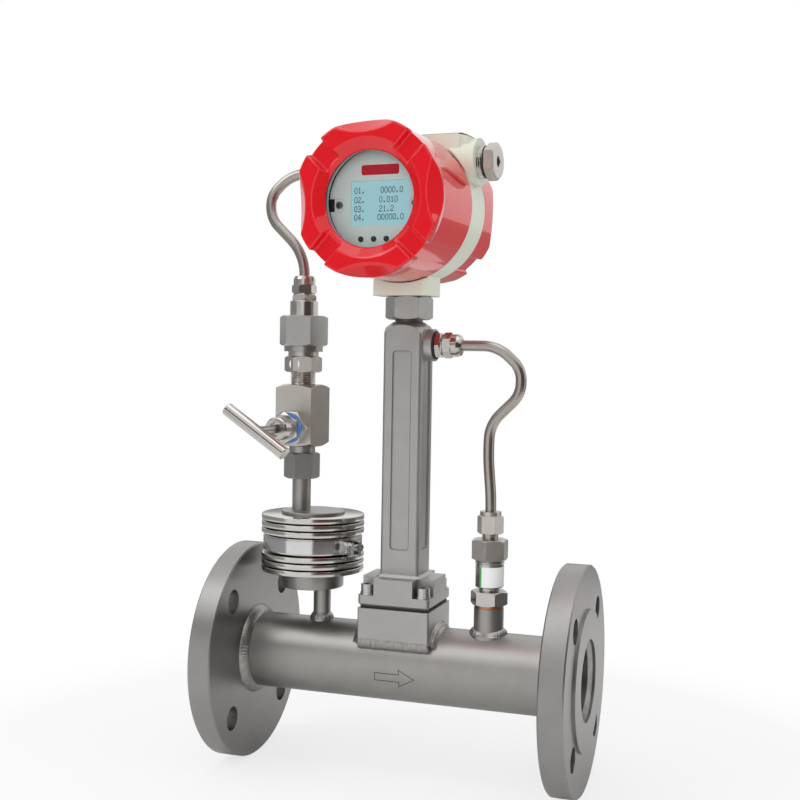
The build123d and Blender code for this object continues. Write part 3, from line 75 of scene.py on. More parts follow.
@dataclass(frozen=True)
class Finish:
    """A painted, metal, plastic or rubber surface."""

    name: str
    color: Vec
    metallic: float = 0.0
    roughness: float = 0.4
    coat: float = 0.0
    specular: float = 0.5
    bump: float = 0.0
    bump_scale: float = 1800.0
    mottle: float = 0.0
    mottle_scale: float = 60.0
    rough_spread: float = 0.0
    edge: float = 0.25
    grain: Grain = Grain.EVEN
    glow: float = 0.0
    slot: str = ""

    def material(self) -> bpy.types.Material:
        """Return the finish's node material, made once.

        Returns:
            A principled surface. Two noises in object space vary its colour and its roughness,
            a finer one raises its grain, and the edges are rounded in shading by a bevel.
        """
        found = bpy.data.materials.get(f"{self.name}_finish")
        if found is not None:
            return found
        material = bpy.data.materials.new(f"{self.name}_finish")
        material.use_nodes = True
        nodes, links = material.node_tree.nodes, material.node_tree.links
        shader = nodes["Principled BSDF"]
        shader.inputs["Base Color"].default_value = (*self.color, 1.0)
        shader.inputs["Metallic"].default_value = self.metallic
        shader.inputs["Roughness"].default_value = self.roughness
        shader.inputs["Coat Weight"].default_value = self.coat
        shader.inputs["Coat Roughness"].default_value = 0.04
        shader.inputs["Specular IOR Level"].default_value = self.specular
        shader.inputs["Emission Color"].default_value = (*self.color, 1.0)
        shader.inputs["Emission Strength"].default_value = self.glow
        material.diffuse_color = (*self.color, 1.0)
        place = nodes.new("ShaderNodeTexCoord")
        stretch = nodes.new("ShaderNodeMapping")
        stretch.inputs["Scale"].default_value = self.grain.value
        links.new(place.outputs["Object"], stretch.inputs["Vector"])
        if self.mottle or self.rough_spread:
            cloud = nodes.new("ShaderNodeTexNoise")
            cloud.inputs["Scale"].default_value = self.mottle_scale
            cloud.inputs["Detail"].default_value = 4.0
            links.new(stretch.outputs["Vector"], cloud.inputs["Vector"])
            if self.mottle:
                tint = nodes.new("ShaderNodeValToRGB")
                low, high = tint.color_ramp.elements
                low.position, high.position = 0.3, 0.7
                low.color = (*(c * (1 - self.mottle) for c in self.color), 1.0)
                high.color = (*(min(1.0, c * (1 + self.mottle)) for c in self.color), 1.0)
                links.new(cloud.outputs["Fac"], tint.inputs["Fac"])
                links.new(tint.outputs["Color"], shader.inputs["Base Color"])
            if self.rough_spread:
                spread = nodes.new("ShaderNodeMapRange")
                spread.inputs["To Min"].default_value = self.roughness - self.rough_spread
                spread.inputs["To Max"].default_value = self.roughness + self.rough_spread
                links.new(cloud.outputs["Fac"], spread.inputs["Value"])
                links.new(spread.outputs["Result"], shader.inputs["Roughness"])
        surface = None
        if self.edge:
            rounding = nodes.new("ShaderNodeBevel")
            rounding.samples = 4
            rounding.inputs["Radius"].default_value = self.edge * MILLIMETRE
            surface = rounding.outputs["Normal"]
        if self.bump:
            noise = nodes.new("ShaderNodeTexNoise")
            noise.inputs["Scale"].default_value = self.bump_scale
            noise.inputs["Detail"].default_value = 2.0
            links.new(stretch.outputs["Vector"], noise.inputs["Vector"])
            relief = nodes.new("ShaderNodeBump")
            relief.inputs["Strength"].default_value = 1.0
            relief.inputs["Distance"].default_value = self.bump * MILLIMETRE
            links.new(noise.outputs["Fac"], relief.inputs["Height"])
            if surface is not None:
                links.new(surface, relief.inputs["Normal"])
            surface = relief.outputs["Normal"]
        if surface is not None:
            links.new(surface, shader.inputs["Normal"])
            links.new(surface, shader.inputs["Coat Normal"])
        return material


@dataclass(frozen=True)
class ClearFinish:
    """Clear window glass: see-through with a mirror sheen that grows at low angles."""

    name: str
    tint: Vec = (0.96, 0.985, 0.98)
    ior: float = 1.45
    slot: str = ""

    def material(self) -> bpy.types.Material:
        """Return the glass material, made once: transparent mixed with gloss by Fresnel."""
        found = bpy.data.materials.get(f"{self.name}_finish")
        if found is not None:
            return found
        material = bpy.data.materials.new(f"{self.name}_finish")
        material.use_nodes = True
        nodes, links = material.node_tree.nodes, material.node_tree.links
        nodes.remove(nodes["Principled BSDF"])
        clear = nodes.new("ShaderNodeBsdfTransparent")
        clear.inputs["Color"].default_value = (*self.tint, 1.0)
        gloss = nodes.new("ShaderNodeBsdfGlossy")
        gloss.inputs["Roughness"].default_value = 0.02
        sheen = nodes.new("ShaderNodeFresnel")
        sheen.inputs["IOR"].default_value = self.ior
        mix = nodes.new("ShaderNodeMixShader")
        links.new(sheen.outputs["Fac"], mix.inputs["Fac"])
        links.new(clear.outputs["BSDF"], mix.inputs[1])
        links.new(gloss.outputs["BSDF"], mix.inputs[2])
        links.new(mix.outputs["Shader"], nodes["Material Output"].inputs["Surface"])
        return material


BLASTED_STEEL = Finish("blasted_steel", (0.37, 0.358, 0.343), 1.0, 0.40, bump=0.02,
                       mottle=0.05, rough_spread=0.05, slot="blasted_steel")
# A darker copy of the blasted steel for both flanges: painted shade for the dark surroundings
# their faces mirror.
SHADED_FLANGE_STEEL = Finish("shaded_flange_steel", (0.32, 0.312, 0.306), 1.0, 0.38, bump=0.015,
                      mottle=0.05, rough_spread=0.05, slot="blasted_steel")
WELD_METAL = Finish("weld_metal", (0.36, 0.35, 0.335), 1.0, 0.34, bump=0.05, mottle=0.16,
                    mottle_scale=260, rough_spread=0.08, slot="weld_metal")
MACHINED_STEEL = Finish("machined_steel", (0.42, 0.41, 0.39), 1.0, 0.30, mottle=0.04,
                        slot="machined_steel")
CAST_STEEL = Finish("cast_steel", (0.45, 0.443, 0.43), 1.0, 0.46, bump=0.03, mottle=0.04,
                    edge=0.5, slot="cast_steel")
BRIGHT_STEEL = Finish("bright_steel", (0.52, 0.50, 0.475), 1.0, 0.18, mottle=0.03,
                      rough_spread=0.04, slot="bright_steel")
SATIN_NICKEL = Finish("satin_nickel", (0.53, 0.505, 0.47), 1.0, 0.32, mottle=0.05,
                      mottle_scale=160, rough_spread=0.05, slot="bright_steel")
SATIN_STEEL = Finish("satin_steel", (0.40, 0.395, 0.38), 1.0, 0.34, bump=0.006, bump_scale=900,
                     mottle=0.05, mottle_scale=220, slot="satin_steel")
VALVE_STEEL = Finish("valve_steel", (0.50, 0.465, 0.43), 1.0, 0.30, bump=0.006, mottle=0.04,
                     mottle_scale=120, rough_spread=0.04, slot="valve_steel")
ZINC_STEEL = Finish("zinc_steel", (0.52, 0.52, 0.51), 1.0, 0.24, mottle=0.08,
                    mottle_scale=300, slot="zinc_steel")
TURNED_METAL = Finish("turned_aluminium", (0.58, 0.565, 0.535), 1.0, 0.17, bump=0.01,
                      bump_scale=700, mottle=0.05, mottle_scale=300,
                      grain=Grain.TURNED_UPRIGHT, edge=0.15, slot="turned_aluminium")
BAND_STEEL = Finish("band_steel", (0.62, 0.62, 0.62), 1.0, 0.14, mottle=0.04, mottle_scale=90,
                    slot="satin_steel")
CONDUIT_STEEL = Finish("conduit_steel", (0.40, 0.37, 0.345), 1.0, 0.29, mottle=0.04,
                       mottle_scale=40, edge=0.0, slot="conduit_steel")
CREAM_PAINT = Finish("cream_paint", (0.67, 0.70, 0.59), 0.0, 0.40, coat=0.15, bump=0.006,
                     bump_scale=1200, mottle=0.01, edge=1.2, slot="cream_paint")
RED_PAINT = Finish("red_paint", (0.66, 0.006, 0.013), 0.0, 0.35, coat=1.0, specular=0.1,
                   edge=0.7, slot="red_paint")
# The window retainer's pale colour is partly its own metal and partly painted light that lifts the
# shaded inner wall of the cover's opening.
RETAINER_METAL = Finish("anodised_ring", (0.66, 0.69, 0.67), 0.2, 0.45, slot="anodised_ring")
# Black rubber for seals and gaskets; the same black is painted shade in the ring round the display
# plate.
BLACK_RUBBER_AND_SHADE = Finish("black_rubber", (0.018, 0.018, 0.018), 0.0, 0.6, slot="black_rubber")
WHITE_PLATE = Finish("white_plastic", (0.90, 0.91, 0.89), 0.0, 0.45, slot="white_plastic")
# The LCD face's glow is painted light: it brightens the display where the cover's deep rim shades
# it.
LCD_FACE = Finish("lcd_grey", (0.45, 0.71, 0.79), 0.0, 0.35, specular=0.2, glow=0.22,
                  slot="lcd_grey")
# Dark ink for the display's digits; on the screw heads the same dark is painted shade standing for
# their cross recess.
INK_AND_SLOT_SHADE = Finish("ink_and_slot_shade", (0.045, 0.07, 0.09), 0.0, 0.5, edge=0.02, slot="black_plastic")
BLACK_PLASTIC = Finish("black_plastic", (0.035, 0.035, 0.038), 0.0, 0.4, slot="black_plastic")
BOARD_GREEN = Finish("board_green", (0.02, 0.09, 0.05), 0.0, 0.4, slot="board_green")
PILLAR_BRASS = Finish("pillar_brass", (0.62, 0.46, 0.20), 1.0, 0.3, slot="pillar_brass")
COPPER = Finish("copper", (0.55, 0.22, 0.12), 1.0, 0.38, mottle=0.08, slot="copper")
BLUE_PLASTIC = Finish("blue_plastic", (0.06, 0.20, 0.48), 0.0, 0.3, slot="blue_plastic")
PLATE_STEEL = Finish("plate_steel", (0.24, 0.24, 0.23), 1.0, 0.38, slot="dark_plate")
WHITE_LABEL = Finish("white_label", (0.84, 0.84, 0.83), 0.0, 0.42, slot="white_plastic")
GREEN_STRIPE = Finish("green_stripe", (0.08, 0.36, 0.10), 0.0, 0.42, slot="board_green")
PALE_PINK = Finish("pale_pink", (0.80, 0.36, 0.38), 0.0, 0.45, slot="red_paint")
RED_PLAQUE = Finish("red_plaque", (0.74, 0.012, 0.036), 0.0, 0.4, specular=0.2,
                    slot="red_paint")
# A dark band round each sunk column panel: painted shade along the panel's edge.
PANEL_EDGE_SHADE = Finish("panel_edge_shade", (0.17, 0.165, 0.16), 0.7, 0.5, edge=0.0, slot="weld_metal")
ETCHED = Finish("etched_line", (0.09, 0.085, 0.08), 0.6, 0.6, edge=0.05, slot="weld_metal")
WINDOW = ClearFinish("clear_glass", slot="clear_glass")


@dataclass(frozen=True)
class Axis:
    """A local frame: an origin, the direction heights are measured in, and a zero direction."""

    origin: Vec
    along: Vec
    zero: Vec

    def place(self, height: np.ndarray, radius: np.ndarray, angle: np.ndarray) -> np.ndarray:
        """Turn cylindrical coordinates into points.

        The point is origin + along * height + (zero * cos angle + side * sin angle) * radius,
        where side is along x zero.

        Args:
            height: distances along the axis.
            radius: distances from the axis.
            angle: angles from the zero direction, in radians.

        Returns:
            An array of points in millimetres, with one more dimension than the inputs.
        """
        along, zero = np.array(self.along), np.array(self.zero)
        side = np.cross(along, zero)
        height, radius, angle = np.broadcast_arrays(height, radius, angle)
        turned = np.cos(angle)[..., None] * zero + np.sin(angle)[..., None] * side
        return np.array(self.origin) + height[..., None] * along + radius[..., None] * turned

    def flat(self, right: np.ndarray, up: np.ndarray, forward: np.ndarray) -> np.ndarray:
        """Return points at distances along zero, along side and along the axis."""
        along, zero = np.array(self.along), np.array(self.zero)
        side = np.cross(along, zero)
        right, up, forward = np.broadcast_arrays(right, up, forward)
        return (
            np.array(self.origin)
            + right[..., None] * zero
            + up[..., None] * side
            + forward[..., None] * along
        )


HEAD_TURN = math.radians(4.2)
HEAD_X = (math.cos(HEAD_TURN), -math.sin(HEAD_TURN), 0.0)
HEAD_Y = (math.sin(HEAD_TURN), math.cos(HEAD_TURN), 0.0)
RUN = Axis((0, 0, 0), (1, 0, 0), (0, 1, 0))
OUTLET = Axis((280, 0, 0), (-1, 0, 0), (0, 1, 0))
METER = Axis((140, 0, 0), (0, 0, 1), (1, 0, 0))
BARREL = Axis((140, 0, 337.8), (-HEAD_Y[0], -HEAD_Y[1], 0), HEAD_X)
BARREL_BACK = Axis((140, 0, 337.8), HEAD_Y, (-HEAD_X[0], -HEAD_X[1], 0))
RIGHT_ENTRY = Axis((140.066, 0.898, 371.5), HEAD_X, HEAD_Y)
LEFT_ENTRY = Axis((140.066, 0.898, 371.5), (-HEAD_X[0], -HEAD_X[1], 0), HEAD_Y)
STUB = Axis((73.5, 0, 0), (0, 0, 1), (1, 0, 0))
COOLER = Axis((65, 0, 0), (0, 0, 1), (1, 0, 0))
STACK_TURN = math.radians(3.5)
STACK = Axis((55, 0, 0), (0, 0, 1), (math.cos(STACK_TURN), -math.sin(STACK_TURN), 0))
NEEDLE = Axis((55, 0, 174.9), (-math.sin(STACK_TURN), -math.cos(STACK_TURN), 0), (0, 0, 1))
TEMPERATURE = Axis((205.5, 0, 0), (0, 0, 1), (1, 0, 0))


def smooth_step(value: np.ndarray, low: float, high: float) -> np.ndarray:
    """Rise from 0 to 1 between low and high as 3t^2 - 2t^3."""
    share = np.clip((value - low) / (high - low), 0.0, 1.0)
    return share * share * (3.0 - 2.0 * share)


def soften(corners: Profile, radius: float, steps: int = 4) -> np.ndarray:
    """Round the corners of a closed outline.

    Each corner becomes a curve (1-t)^2 a + 2t(1-t) corner + t^2 b between the points a and b
    that lie on its two sides at most radius, and at most 0.45 of the side, away.

    Args:
        corners: the outline's corners.
        radius: the distance from the corner at which rounding starts.
        steps: the number of straight pieces in each rounded corner.

    Returns:
        The rounded outline's points, in order.
    """
    here = np.array(corners, float)
    before, after = np.roll(here, 1, axis=0), np.roll(here, -1, axis=0)

    def reach(other: np.ndarray) -> np.ndarray:
        side = other - here
        length = np.linalg.norm(side, axis=1, keepdims=True)
        return here + side / length * np.minimum(radius, 0.45 * length)

    start, end = reach(before)[:, None], reach(after)[:, None]
    share = np.linspace(0.0, 1.0, steps + 1)[None, :, None]
    curve = (1 - share) ** 2 * start + 2 * share * (1 - share) * here[:, None] + share**2 * end
    return curve.reshape(-1, 2)


def refine(
    outline: np.ndarray, step: float, above: float = -math.inf, beyond: float = -math.inf
) -> np.ndarray:
    """Add points to the long sides of a closed outline.

    Args:
        outline: the outline's points, each a height and a radius or two other coordinates.
        step: the longest that a side may stay.
        above: only sides that reach above this first coordinate are divided.
        beyond: only sides that reach beyond this second coordinate are divided.

    Returns:
        The outline's points and the added ones, in order.
    """
    ahead = np.roll(outline, -1, axis=0)
    length = np.linalg.norm(ahead - outline, axis=1)
    high = np.maximum(outline[:, 0], ahead[:, 0]) > above
    wide = np.maximum(outline[:, 1], ahead[:, 1]) > beyond
    length = np.where(high & wide, length, 0.0)
    count = np.maximum(1, np.ceil(length / step).astype(int))
    owner = np.repeat(np.arange(len(outline)), count)
    place = np.arange(len(owner)) - np.repeat(np.cumsum(count) - count, count)
    share = (place / count[owner])[:, None]
    return outline[owner] * (1 - share) + ahead[owner] * share


def grid_faces(rows: int, columns: int, close_rows: bool, close_columns: bool) -> np.ndarray:
    """Return the four-cornered faces of a grid of points numbered row by row."""
    row = np.arange(rows if close_rows else rows - 1)[:, None]
    column = np.arange(columns if close_columns else columns - 1)[None, :]
    next_row, next_column = (row + 1) % rows, (column + 1) % columns
    return np.stack(
        [
            row * columns + column,
            row * columns + next_column,
            next_row * columns + next_column,
            next_row * columns + column,
        ],
        axis=-1,
    ).reshape(-1, 4)


def make_piece(
    name: str,
    points: np.ndarray,
    faces: np.ndarray,
    finish: Finish,
    body: Body,
    closed: bool = True,
    sharp: float = SHARP_ANGLE,
) -> bpy.types.Object:
    """Make a mesh piece that rides on a body.

    Args:
        name: the piece's name.
        points: its vertices in millimetres.
        faces: the vertex numbers of its faces.
        finish: its surface.
        body: the rigid body it moves with.
        closed: whether it is a closed shell, whose faces are turned outwards.
        sharp: the angle between faces from which their edge is shaded sharp.

    Returns:
        The object, at the origin, with its place in its mesh.
    """
    mesh = bpy.data.meshes.new(name)
    vertices = points.reshape(-1, 3) * MILLIMETRE
    mesh.from_pydata(vertices.tolist(), [], faces.tolist())
    work = bmesh.new()
    work.from_mesh(mesh)
    bmesh.ops.remove_doubles(work, verts=work.verts, dist=1e-6)
    bmesh.ops.dissolve_degenerate(work, edges=work.edges, dist=1e-7)
    if closed:
        bmesh.ops.recalc_face_normals(work, faces=work.faces)
    work.to_mesh(mesh)
    work.free()
    mesh.polygons.foreach_set("use_smooth", np.ones(len(mesh.polygons), bool))
    mesh.set_sharp_from_angle(angle=sharp)
    mesh.materials.append(finish.material())
    piece = bpy.data.objects.new(name, mesh)
    bpy.context.scene.collection.objects.link(piece)
    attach(piece, body.value)
    LOG.info("%s: %d faces on %s", name, len(mesh.polygons), body.value)
    return piece


def turned_piece(
    name: str, axis: Axis, outline: np.ndarray, finish: Finish, body: Body, segments: int = 96
) -> bpy.types.Object:
    """Turn a closed outline of (height, radius) points about an axis into a piece."""
    angle = np.linspace(0.0, 2 * math.pi, segments, endpoint=False)[:, None]
    points = axis.place(outline[None, :, 0], outline[None, :, 1], angle)
    faces = grid_faces(segments, len(outline), True, True)
    return make_piece(name, points, faces, finish, body)


def hexagon_piece(
    name: str, axis: Axis, outline: np.ndarray, flats: float, finish: Finish, body: Body
) -> bpy.types.Object:
    """Turn a closed outline and trim it to a hexagon.

    The radius is the smaller of the outline's and flats / 2 / cos(a), where a is the angle from
    the middle of the nearest flat; the first flat looks along the axis's zero direction.

    Args:
        name: the piece's name.
        axis: its axis.
        outline: closed (height, radius) points.
        flats: the distance across flats.
        finish: its surface.
        body: the body it rides on.

    Returns:
        The piece.
    """
    angle = np.linspace(0.0, 2 * math.pi, 144, endpoint=False)[:, None]
    near = (angle + math.pi / 6) % (math.pi / 3) - math.pi / 6
    radius = np.minimum(outline[None, :, 1], flats / 2 / np.cos(near))
    points = axis.place(outline[None, :, 0], radius, angle)
    return make_piece(name, points, grid_faces(144, len(outline), True, True), finish, body)


def thread_piece(
    name: str,
    axis: Axis,
    low: float,
    high: float,
    core: float,
    pitch: float,
    finish: Finish,
    body: Body,
) -> bpy.types.Object:
    """Make a thread's outside as a sleeve.

    The radius is core + depth * tri(height / pitch - angle / 360), where tri runs 0 to 1 to 0,
    and it falls back to the core at both ends. The sleeve's inside is a plain cylinder.

    Args:
        name: the piece's name.
        axis: the thread's axis.
        low: the height where the thread starts.
        high: the height where it ends.
        core: the radius at the thread's root, on the plain rod it covers.
        pitch: the distance between crests.
        finish: its surface.
        body: the body it rides on.

    Returns:
        The threaded sleeve.
    """
    rows = max(8, int((high - low) / pitch * 8))
    height = np.linspace(low, high, rows)[None, :]
    angle = np.linspace(0.0, 2 * math.pi, 72, endpoint=False)[:, None]
    phase = (height / pitch - angle / (2 * math.pi)) % 1.0
    fade = smooth_step(np.minimum(height - low, high - height), 0.0, pitch / 2)
    radius = core + 0.45 * pitch * fade * (1.0 - np.abs(2.0 * phase - 1.0)) + 0.02
    outside = axis.place(height, radius, angle)
    inside = axis.place(height[:, ::-1], np.full_like(height, core - 0.3), angle)
    points = np.concatenate([outside, inside], axis=1)
    return make_piece(name, points, grid_faces(72, 2 * rows, True, True), finish, body)


def weld_piece(name: str, toe: np.ndarray, root: np.ndarray, out: np.ndarray, body: Body,
               closed: bool, bulge: float = 0.7) -> bpy.types.Object:
    """Lay a rippled weld between two lines of points.

    Across the bead the surface is toe + (root - toe) * s + out * 4s(1-s) * height. The height is
    the bulge plus a row of rounded scales and a slow waver made of three sines of the distance
    along the bead, and both edges waver too. An open bead runs out smoothly at its ends.

    Args:
        name: the piece's name.
        toe: points along the bead's first edge.
        root: points along its second edge, as many.
        out: unit directions in which the bead bulges at each point.
        body: the body it rides on.
        closed: whether the bead runs round and meets itself.
        bulge: the height of its middle, in millimetres.

    Returns:
        The bead.
    """
    share = np.linspace(0.0, 1.0, 13)[None, :, None]
    step = np.linalg.norm(np.diff(toe, axis=0), axis=1)
    along = np.concatenate([[0.0], np.cumsum(step)])
    turns = 2 * math.pi * np.arange(len(toe)) / len(toe)
    waver = (np.sin(5 * turns + 0.4) + 0.7 * np.sin(13 * turns + 2.0) + 0.5 * np.sin(29 * turns))
    waver = waver[:, None, None]
    ends = np.ones_like(along)
    if not closed:
        ends = smooth_step(np.minimum(along, along[-1] - along), 0.0, 2.0)
    ends = ends[:, None, None]
    along = along[:, None, None]
    arch = 4.0 * share * (1.0 - share)
    scales = np.abs(np.sin(math.pi * (along / 2.1 + 0.6 * arch)))
    height = bulge * (1.0 + 0.10 * waver) + 0.24 * scales
    middle = (toe + root)[:, None] / 2
    flat = toe[:, None] * (1 - share) + root[:, None] * share
    spread = ends * (1.0 + 0.035 * waver)
    surface = middle + (flat - middle) * spread + out[:, None] * (arch * height * ends + 0.03)
    below = surface[:, ::-1] - out[:, None] * 0.9
    points = np.concatenate([surface, below], axis=1)
    faces = grid_faces(len(toe), points.shape[1], closed, True)
    return make_piece(name, points, faces, WELD_METAL, body)


def patch_piece(
    name: str, face: np.ndarray, back: np.ndarray, finish: Finish, body: Body
) -> bpy.types.Object:
    """Make a thin closed sheet from two grids of points, its face and its back."""
    rows, columns = face.shape[:2]
    count = rows * columns
    sheet = grid_faces(rows, columns, False, False)
    ring = np.concatenate(
        [
            np.arange(columns),
            np.arange(1, rows) * columns + columns - 1,
            (rows - 1) * columns + np.arange(columns - 2, -1, -1),
            np.arange(rows - 2, 0, -1) * columns,
        ]
    )
    ahead = np.roll(ring, -1)
    rim = np.stack([ring, ahead, ahead + count, ring + count], axis=-1)
    faces = np.concatenate([sheet, sheet[:, ::-1] + count, rim[:, ::-1]])
    points = np.concatenate([face.reshape(-1, 3), back.reshape(-1, 3)])
    return make_piece(name, points, faces, finish, body)


def dress(finish: Finish | ClearFinish, *names: str) -> None:
    """Give CAD nodes a finish in all their material slots.

    Args:
        finish: the surface.
        names: the nodes.
    """
    for name in names:
        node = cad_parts[name]
        for place in range(max(1, len(node.data.materials))):
            if len(node.data.materials) == 0:
                node.data.materials.append(finish.material())
            node.data.materials[place] = finish.material()
        LOG.info("%s: %s", name, finish.name)


@dataclass
class FlowLine:
    """Pipe, flanges, welds, bluff body and the flow arrow."""

    tube_radius: float = 28.5
    flange_back: float = 20.0
    weld_leg: float = 5.5
    block_half: float = 27.5
    block_low: float = 21.8
    block_foot: float = 14.0
    end_leg: float = 3.6
    end_lean: float = 50.0
    boss_radius: float = 11.0
    boss_foot: float = 14.2
    boss_top: float = 32.2
    stub_radius: float = 6.6
    stub_foot: float = 9.3
    stub_top: float = 33.0
    arrow_tail: float = 126.9
    arrow_shoulder: float = 145.5
    arrow_tip: float = 158.1
    arrow_centre: float = -5.1
    arrow_shaft: float = 3.1
    arrow_head: float = 6.8
    line_width: float = 0.55

    def dress(self) -> None:
        """Give the line's solids their finishes."""
        dress(BLASTED_STEEL, "flow_tube")
        dress(SHADED_FLANGE_STEEL, "inlet_flange", "outlet_flange")
        dress(CAST_STEEL, "sensor_block")
        dress(MACHINED_STEEL, "bluff_body", "vortex_sensor")
        dress(WELD_METAL, "weld_beads")

    def flange_weld(self, name: str, axis: Axis) -> None:
        """Lay the rippled fillet between the tube and a flange's back."""
        angle = np.linspace(0.0, 2 * math.pi, 360, endpoint=False)
        toe = axis.place(self.flange_back + self.weld_leg, self.tube_radius, angle)
        root = axis.place(self.flange_back, self.tube_radius + self.weld_leg, angle)
        centre = axis.place(0.0, 0.0, angle)
        radial = (axis.place(0.0, 1.0, angle) - centre) / math.sqrt(2)
        out = radial + np.array(axis.along) / math.sqrt(2)
        weld_piece(name, toe, root, out, Body.METER, True, bulge=0.6)

    def branch_weld(self, name: str, axis: Axis, radius: float, foot: float, top: float) -> None:
        """Lay a weld round an upright branch, its foot on the tube.

        The foot's height at an angle is sqrt(tube^2 - (foot sin angle)^2).
        """
        angle = np.linspace(0.0, 2 * math.pi, 200, endpoint=False)
        ground = np.sqrt(self.tube_radius**2 - (foot * np.sin(angle)) ** 2)
        ground_in = np.sqrt(self.tube_radius**2 - (radius * np.sin(angle)) ** 2)
        rise = top - self.tube_radius
        toe = axis.place(ground_in + rise, radius, angle)
        root = axis.place(ground - 0.3, foot, angle)
        out = (axis.place(0.0, 1.0, angle) - axis.place(0.0, 0.0, angle)) * 0.7
        out = out + np.array([0.0, 0.0, 0.7])
        weld_piece(name, toe, root, out, Body.METER, True, bulge=0.35)

    def block_welds(self) -> None:
        """Lay the welds along both sides and both ends of the sensor block."""
        along = np.linspace(139 - self.block_half, 141 + self.block_half, 180)
        foot = math.sqrt(self.tube_radius**2 - self.block_foot**2)
        for side, word in ((-1, "right"), (1, "left")):
            toe = np.stack([along, np.full_like(along, side * self.block_half),
                            np.full_like(along, self.block_low)], axis=-1)
            root = np.stack([along, np.full_like(along, side * foot),
                             np.full_like(along, self.block_foot)], axis=-1)
            out = np.tile(np.array([0.0, side * 0.946, -0.325]), (len(along), 1))
            weld_piece(f"block_weld_{word}", toe, root, out, Body.METER, False, bulge=1.5)
        lean = np.radians(np.linspace(-self.end_lean, self.end_lean, 160))
        for end, word in ((-1, "inlet"), (1, "outlet")):
            face = 140 + end * self.block_half
            ring = np.stack([np.zeros_like(lean), np.sin(lean), np.cos(lean)], axis=-1)
            toe = ring * (self.tube_radius + self.end_leg) + np.array([face, 0, 0])
            root = ring * self.tube_radius + np.array([face + end * self.end_leg, 0, 0])
            out = (ring + np.array([end, 0.0, 0.0])) / math.sqrt(2)
            weld_piece(f"block_weld_{word}", toe, root, out, Body.METER, False, bulge=1.0)

    def arrow(self) -> None:
        """Etch the outline of the flow arrow on the pipe's front.

        The outline's corners are (x, height above the centre line); the line between its outer
        and inner copies is wrapped on the pipe: y = -sqrt(tube^2 - z^2).
        """
        shaft, head = self.arrow_shaft, self.arrow_head
        corners = np.array(
            [
                (self.arrow_tail, shaft),
                (self.arrow_shoulder, shaft),
                (self.arrow_shoulder, head),
                (self.arrow_tip, 0.0),
                (self.arrow_shoulder, -head),
                (self.arrow_shoulder, -shaft),
                (self.arrow_tail, -shaft),
            ]
        )
        ahead = np.roll(corners, -1, axis=0) - corners
        ahead /= np.linalg.norm(ahead, axis=1, keepdims=True)
        behind = np.roll(ahead, 1, axis=0)
        inward = np.stack([ahead[:, 1], -ahead[:, 0]], axis=-1)
        inward_before = np.stack([behind[:, 1], -behind[:, 0]], axis=-1)
        mitre = inward + inward_before
        mitre /= (1.0 + np.sum(inward * inward_before, axis=1, keepdims=True))
        outer = refine(corners, 1.0)
        inner_corners = corners + mitre * self.line_width
        length = np.linalg.norm(np.roll(corners, -1, axis=0) - corners, axis=1)
        count = np.maximum(1, np.ceil(length).astype(int))
        owner = np.repeat(np.arange(len(corners)), count)
        place = np.arange(len(owner)) - np.repeat(np.cumsum(count) - count, count)
        share = (place / count[owner])[:, None]
        inner = (
            inner_corners[owner] * (1 - share)
            + np.roll(inner_corners, -1, axis=0)[owner] * share
        )
        lines = np.stack([outer, inner], axis=1)
        height = lines[..., 1] + self.arrow_centre

        def wrap(radius: float) -> np.ndarray:
            depth = -np.sqrt(radius**2 - height**2)
            return np.stack([lines[..., 0], depth, height], axis=-1)

        points = np.concatenate([wrap(self.tube_radius + 0.06),
                                 wrap(self.tube_radius - 0.1)[:, ::-1]], axis=1)
        faces = grid_faces(len(outer), 4, True, True)
        make_piece("flow_arrow", points, faces, ETCHED, Body.METER)

    def build(self) -> None:
        """Build the welds and the arrow."""
        self.flange_weld("inlet_weld", RUN)
        self.flange_weld("outlet_weld", OUTLET)
        self.branch_weld("boss_weld", TEMPERATURE, self.boss_radius, self.boss_foot, self.boss_top)
        self.branch_weld("stub_weld", STUB, self.stub_radius, self.stub_foot, self.stub_top)
        self.block_welds()
        self.arrow()


@dataclass
class Column:
    """Extension column with its bonnet, screws and lock nut."""

    half_side: float = 15.0
    panel_width: float = 14.3
    panel_low: float = 87.0
    panel_high: float = 234.0
    panel_corner: float = 3.0
    nipple_radius: float = 10.0
    column_top: float = 255.4
    nut_low: float = 257.3
    pitch: float = 1.5

    def dress(self) -> None:
        """Give the column's solids their finishes."""
        dress(CAST_STEEL, "extension_column")
        dress(MACHINED_STEEL, "column_nipple")
        dress(SATIN_STEEL, "column_nut")
        dress(ZINC_STEEL, "bonnet_screws", "spring_washers")
        dress(BLACK_RUBBER_AND_SHADE, "sensor_gasket")

    def panel_lines(self) -> None:
        """Draw the fine dark line round the sunk panel on each side of the column: painted shade
        along the panel's sunk edge.
        """
        half, middle = self.panel_width / 2, (self.panel_low + self.panel_high) / 2
        tall = (self.panel_high - self.panel_low) / 2
        rings = []
        for grow, rise in ((0.25, 0.03), (-0.15, 0.03), (-0.15, -0.1), (0.25, -0.1)):
            wide, high = half + grow, tall + grow
            corners = [(-wide, -high), (wide, -high), (wide, high), (-wide, high)]
            ring = soften(corners, self.panel_corner + grow, 6)
            rings.append(np.column_stack([ring, np.full(len(ring), self.half_side + rise)]))
        grid = np.stack(rings, axis=1)
        for turn, word in enumerate(("outlet", "left", "inlet", "right")):
            way = turn * math.pi / 2
            side = Axis((140, 0, middle), (math.cos(way), math.sin(way), 0),
                        (-math.sin(way), math.cos(way), 0))
            points = side.flat(grid[..., 0], grid[..., 1], grid[..., 2])
            make_piece(f"panel_line_{word}", points, grid_faces(len(grid), 4, True, True),
                       PANEL_EDGE_SHADE, Body.METER)

    def build(self) -> None:
        """Draw the panels' lines and cut the thread between the column and its nut."""
        self.panel_lines()
        thread_piece("nipple_thread", METER, self.column_top - 0.5, self.nut_low + 0.5,
                     self.nipple_radius, self.pitch, MACHINED_STEEL, Body.METER)


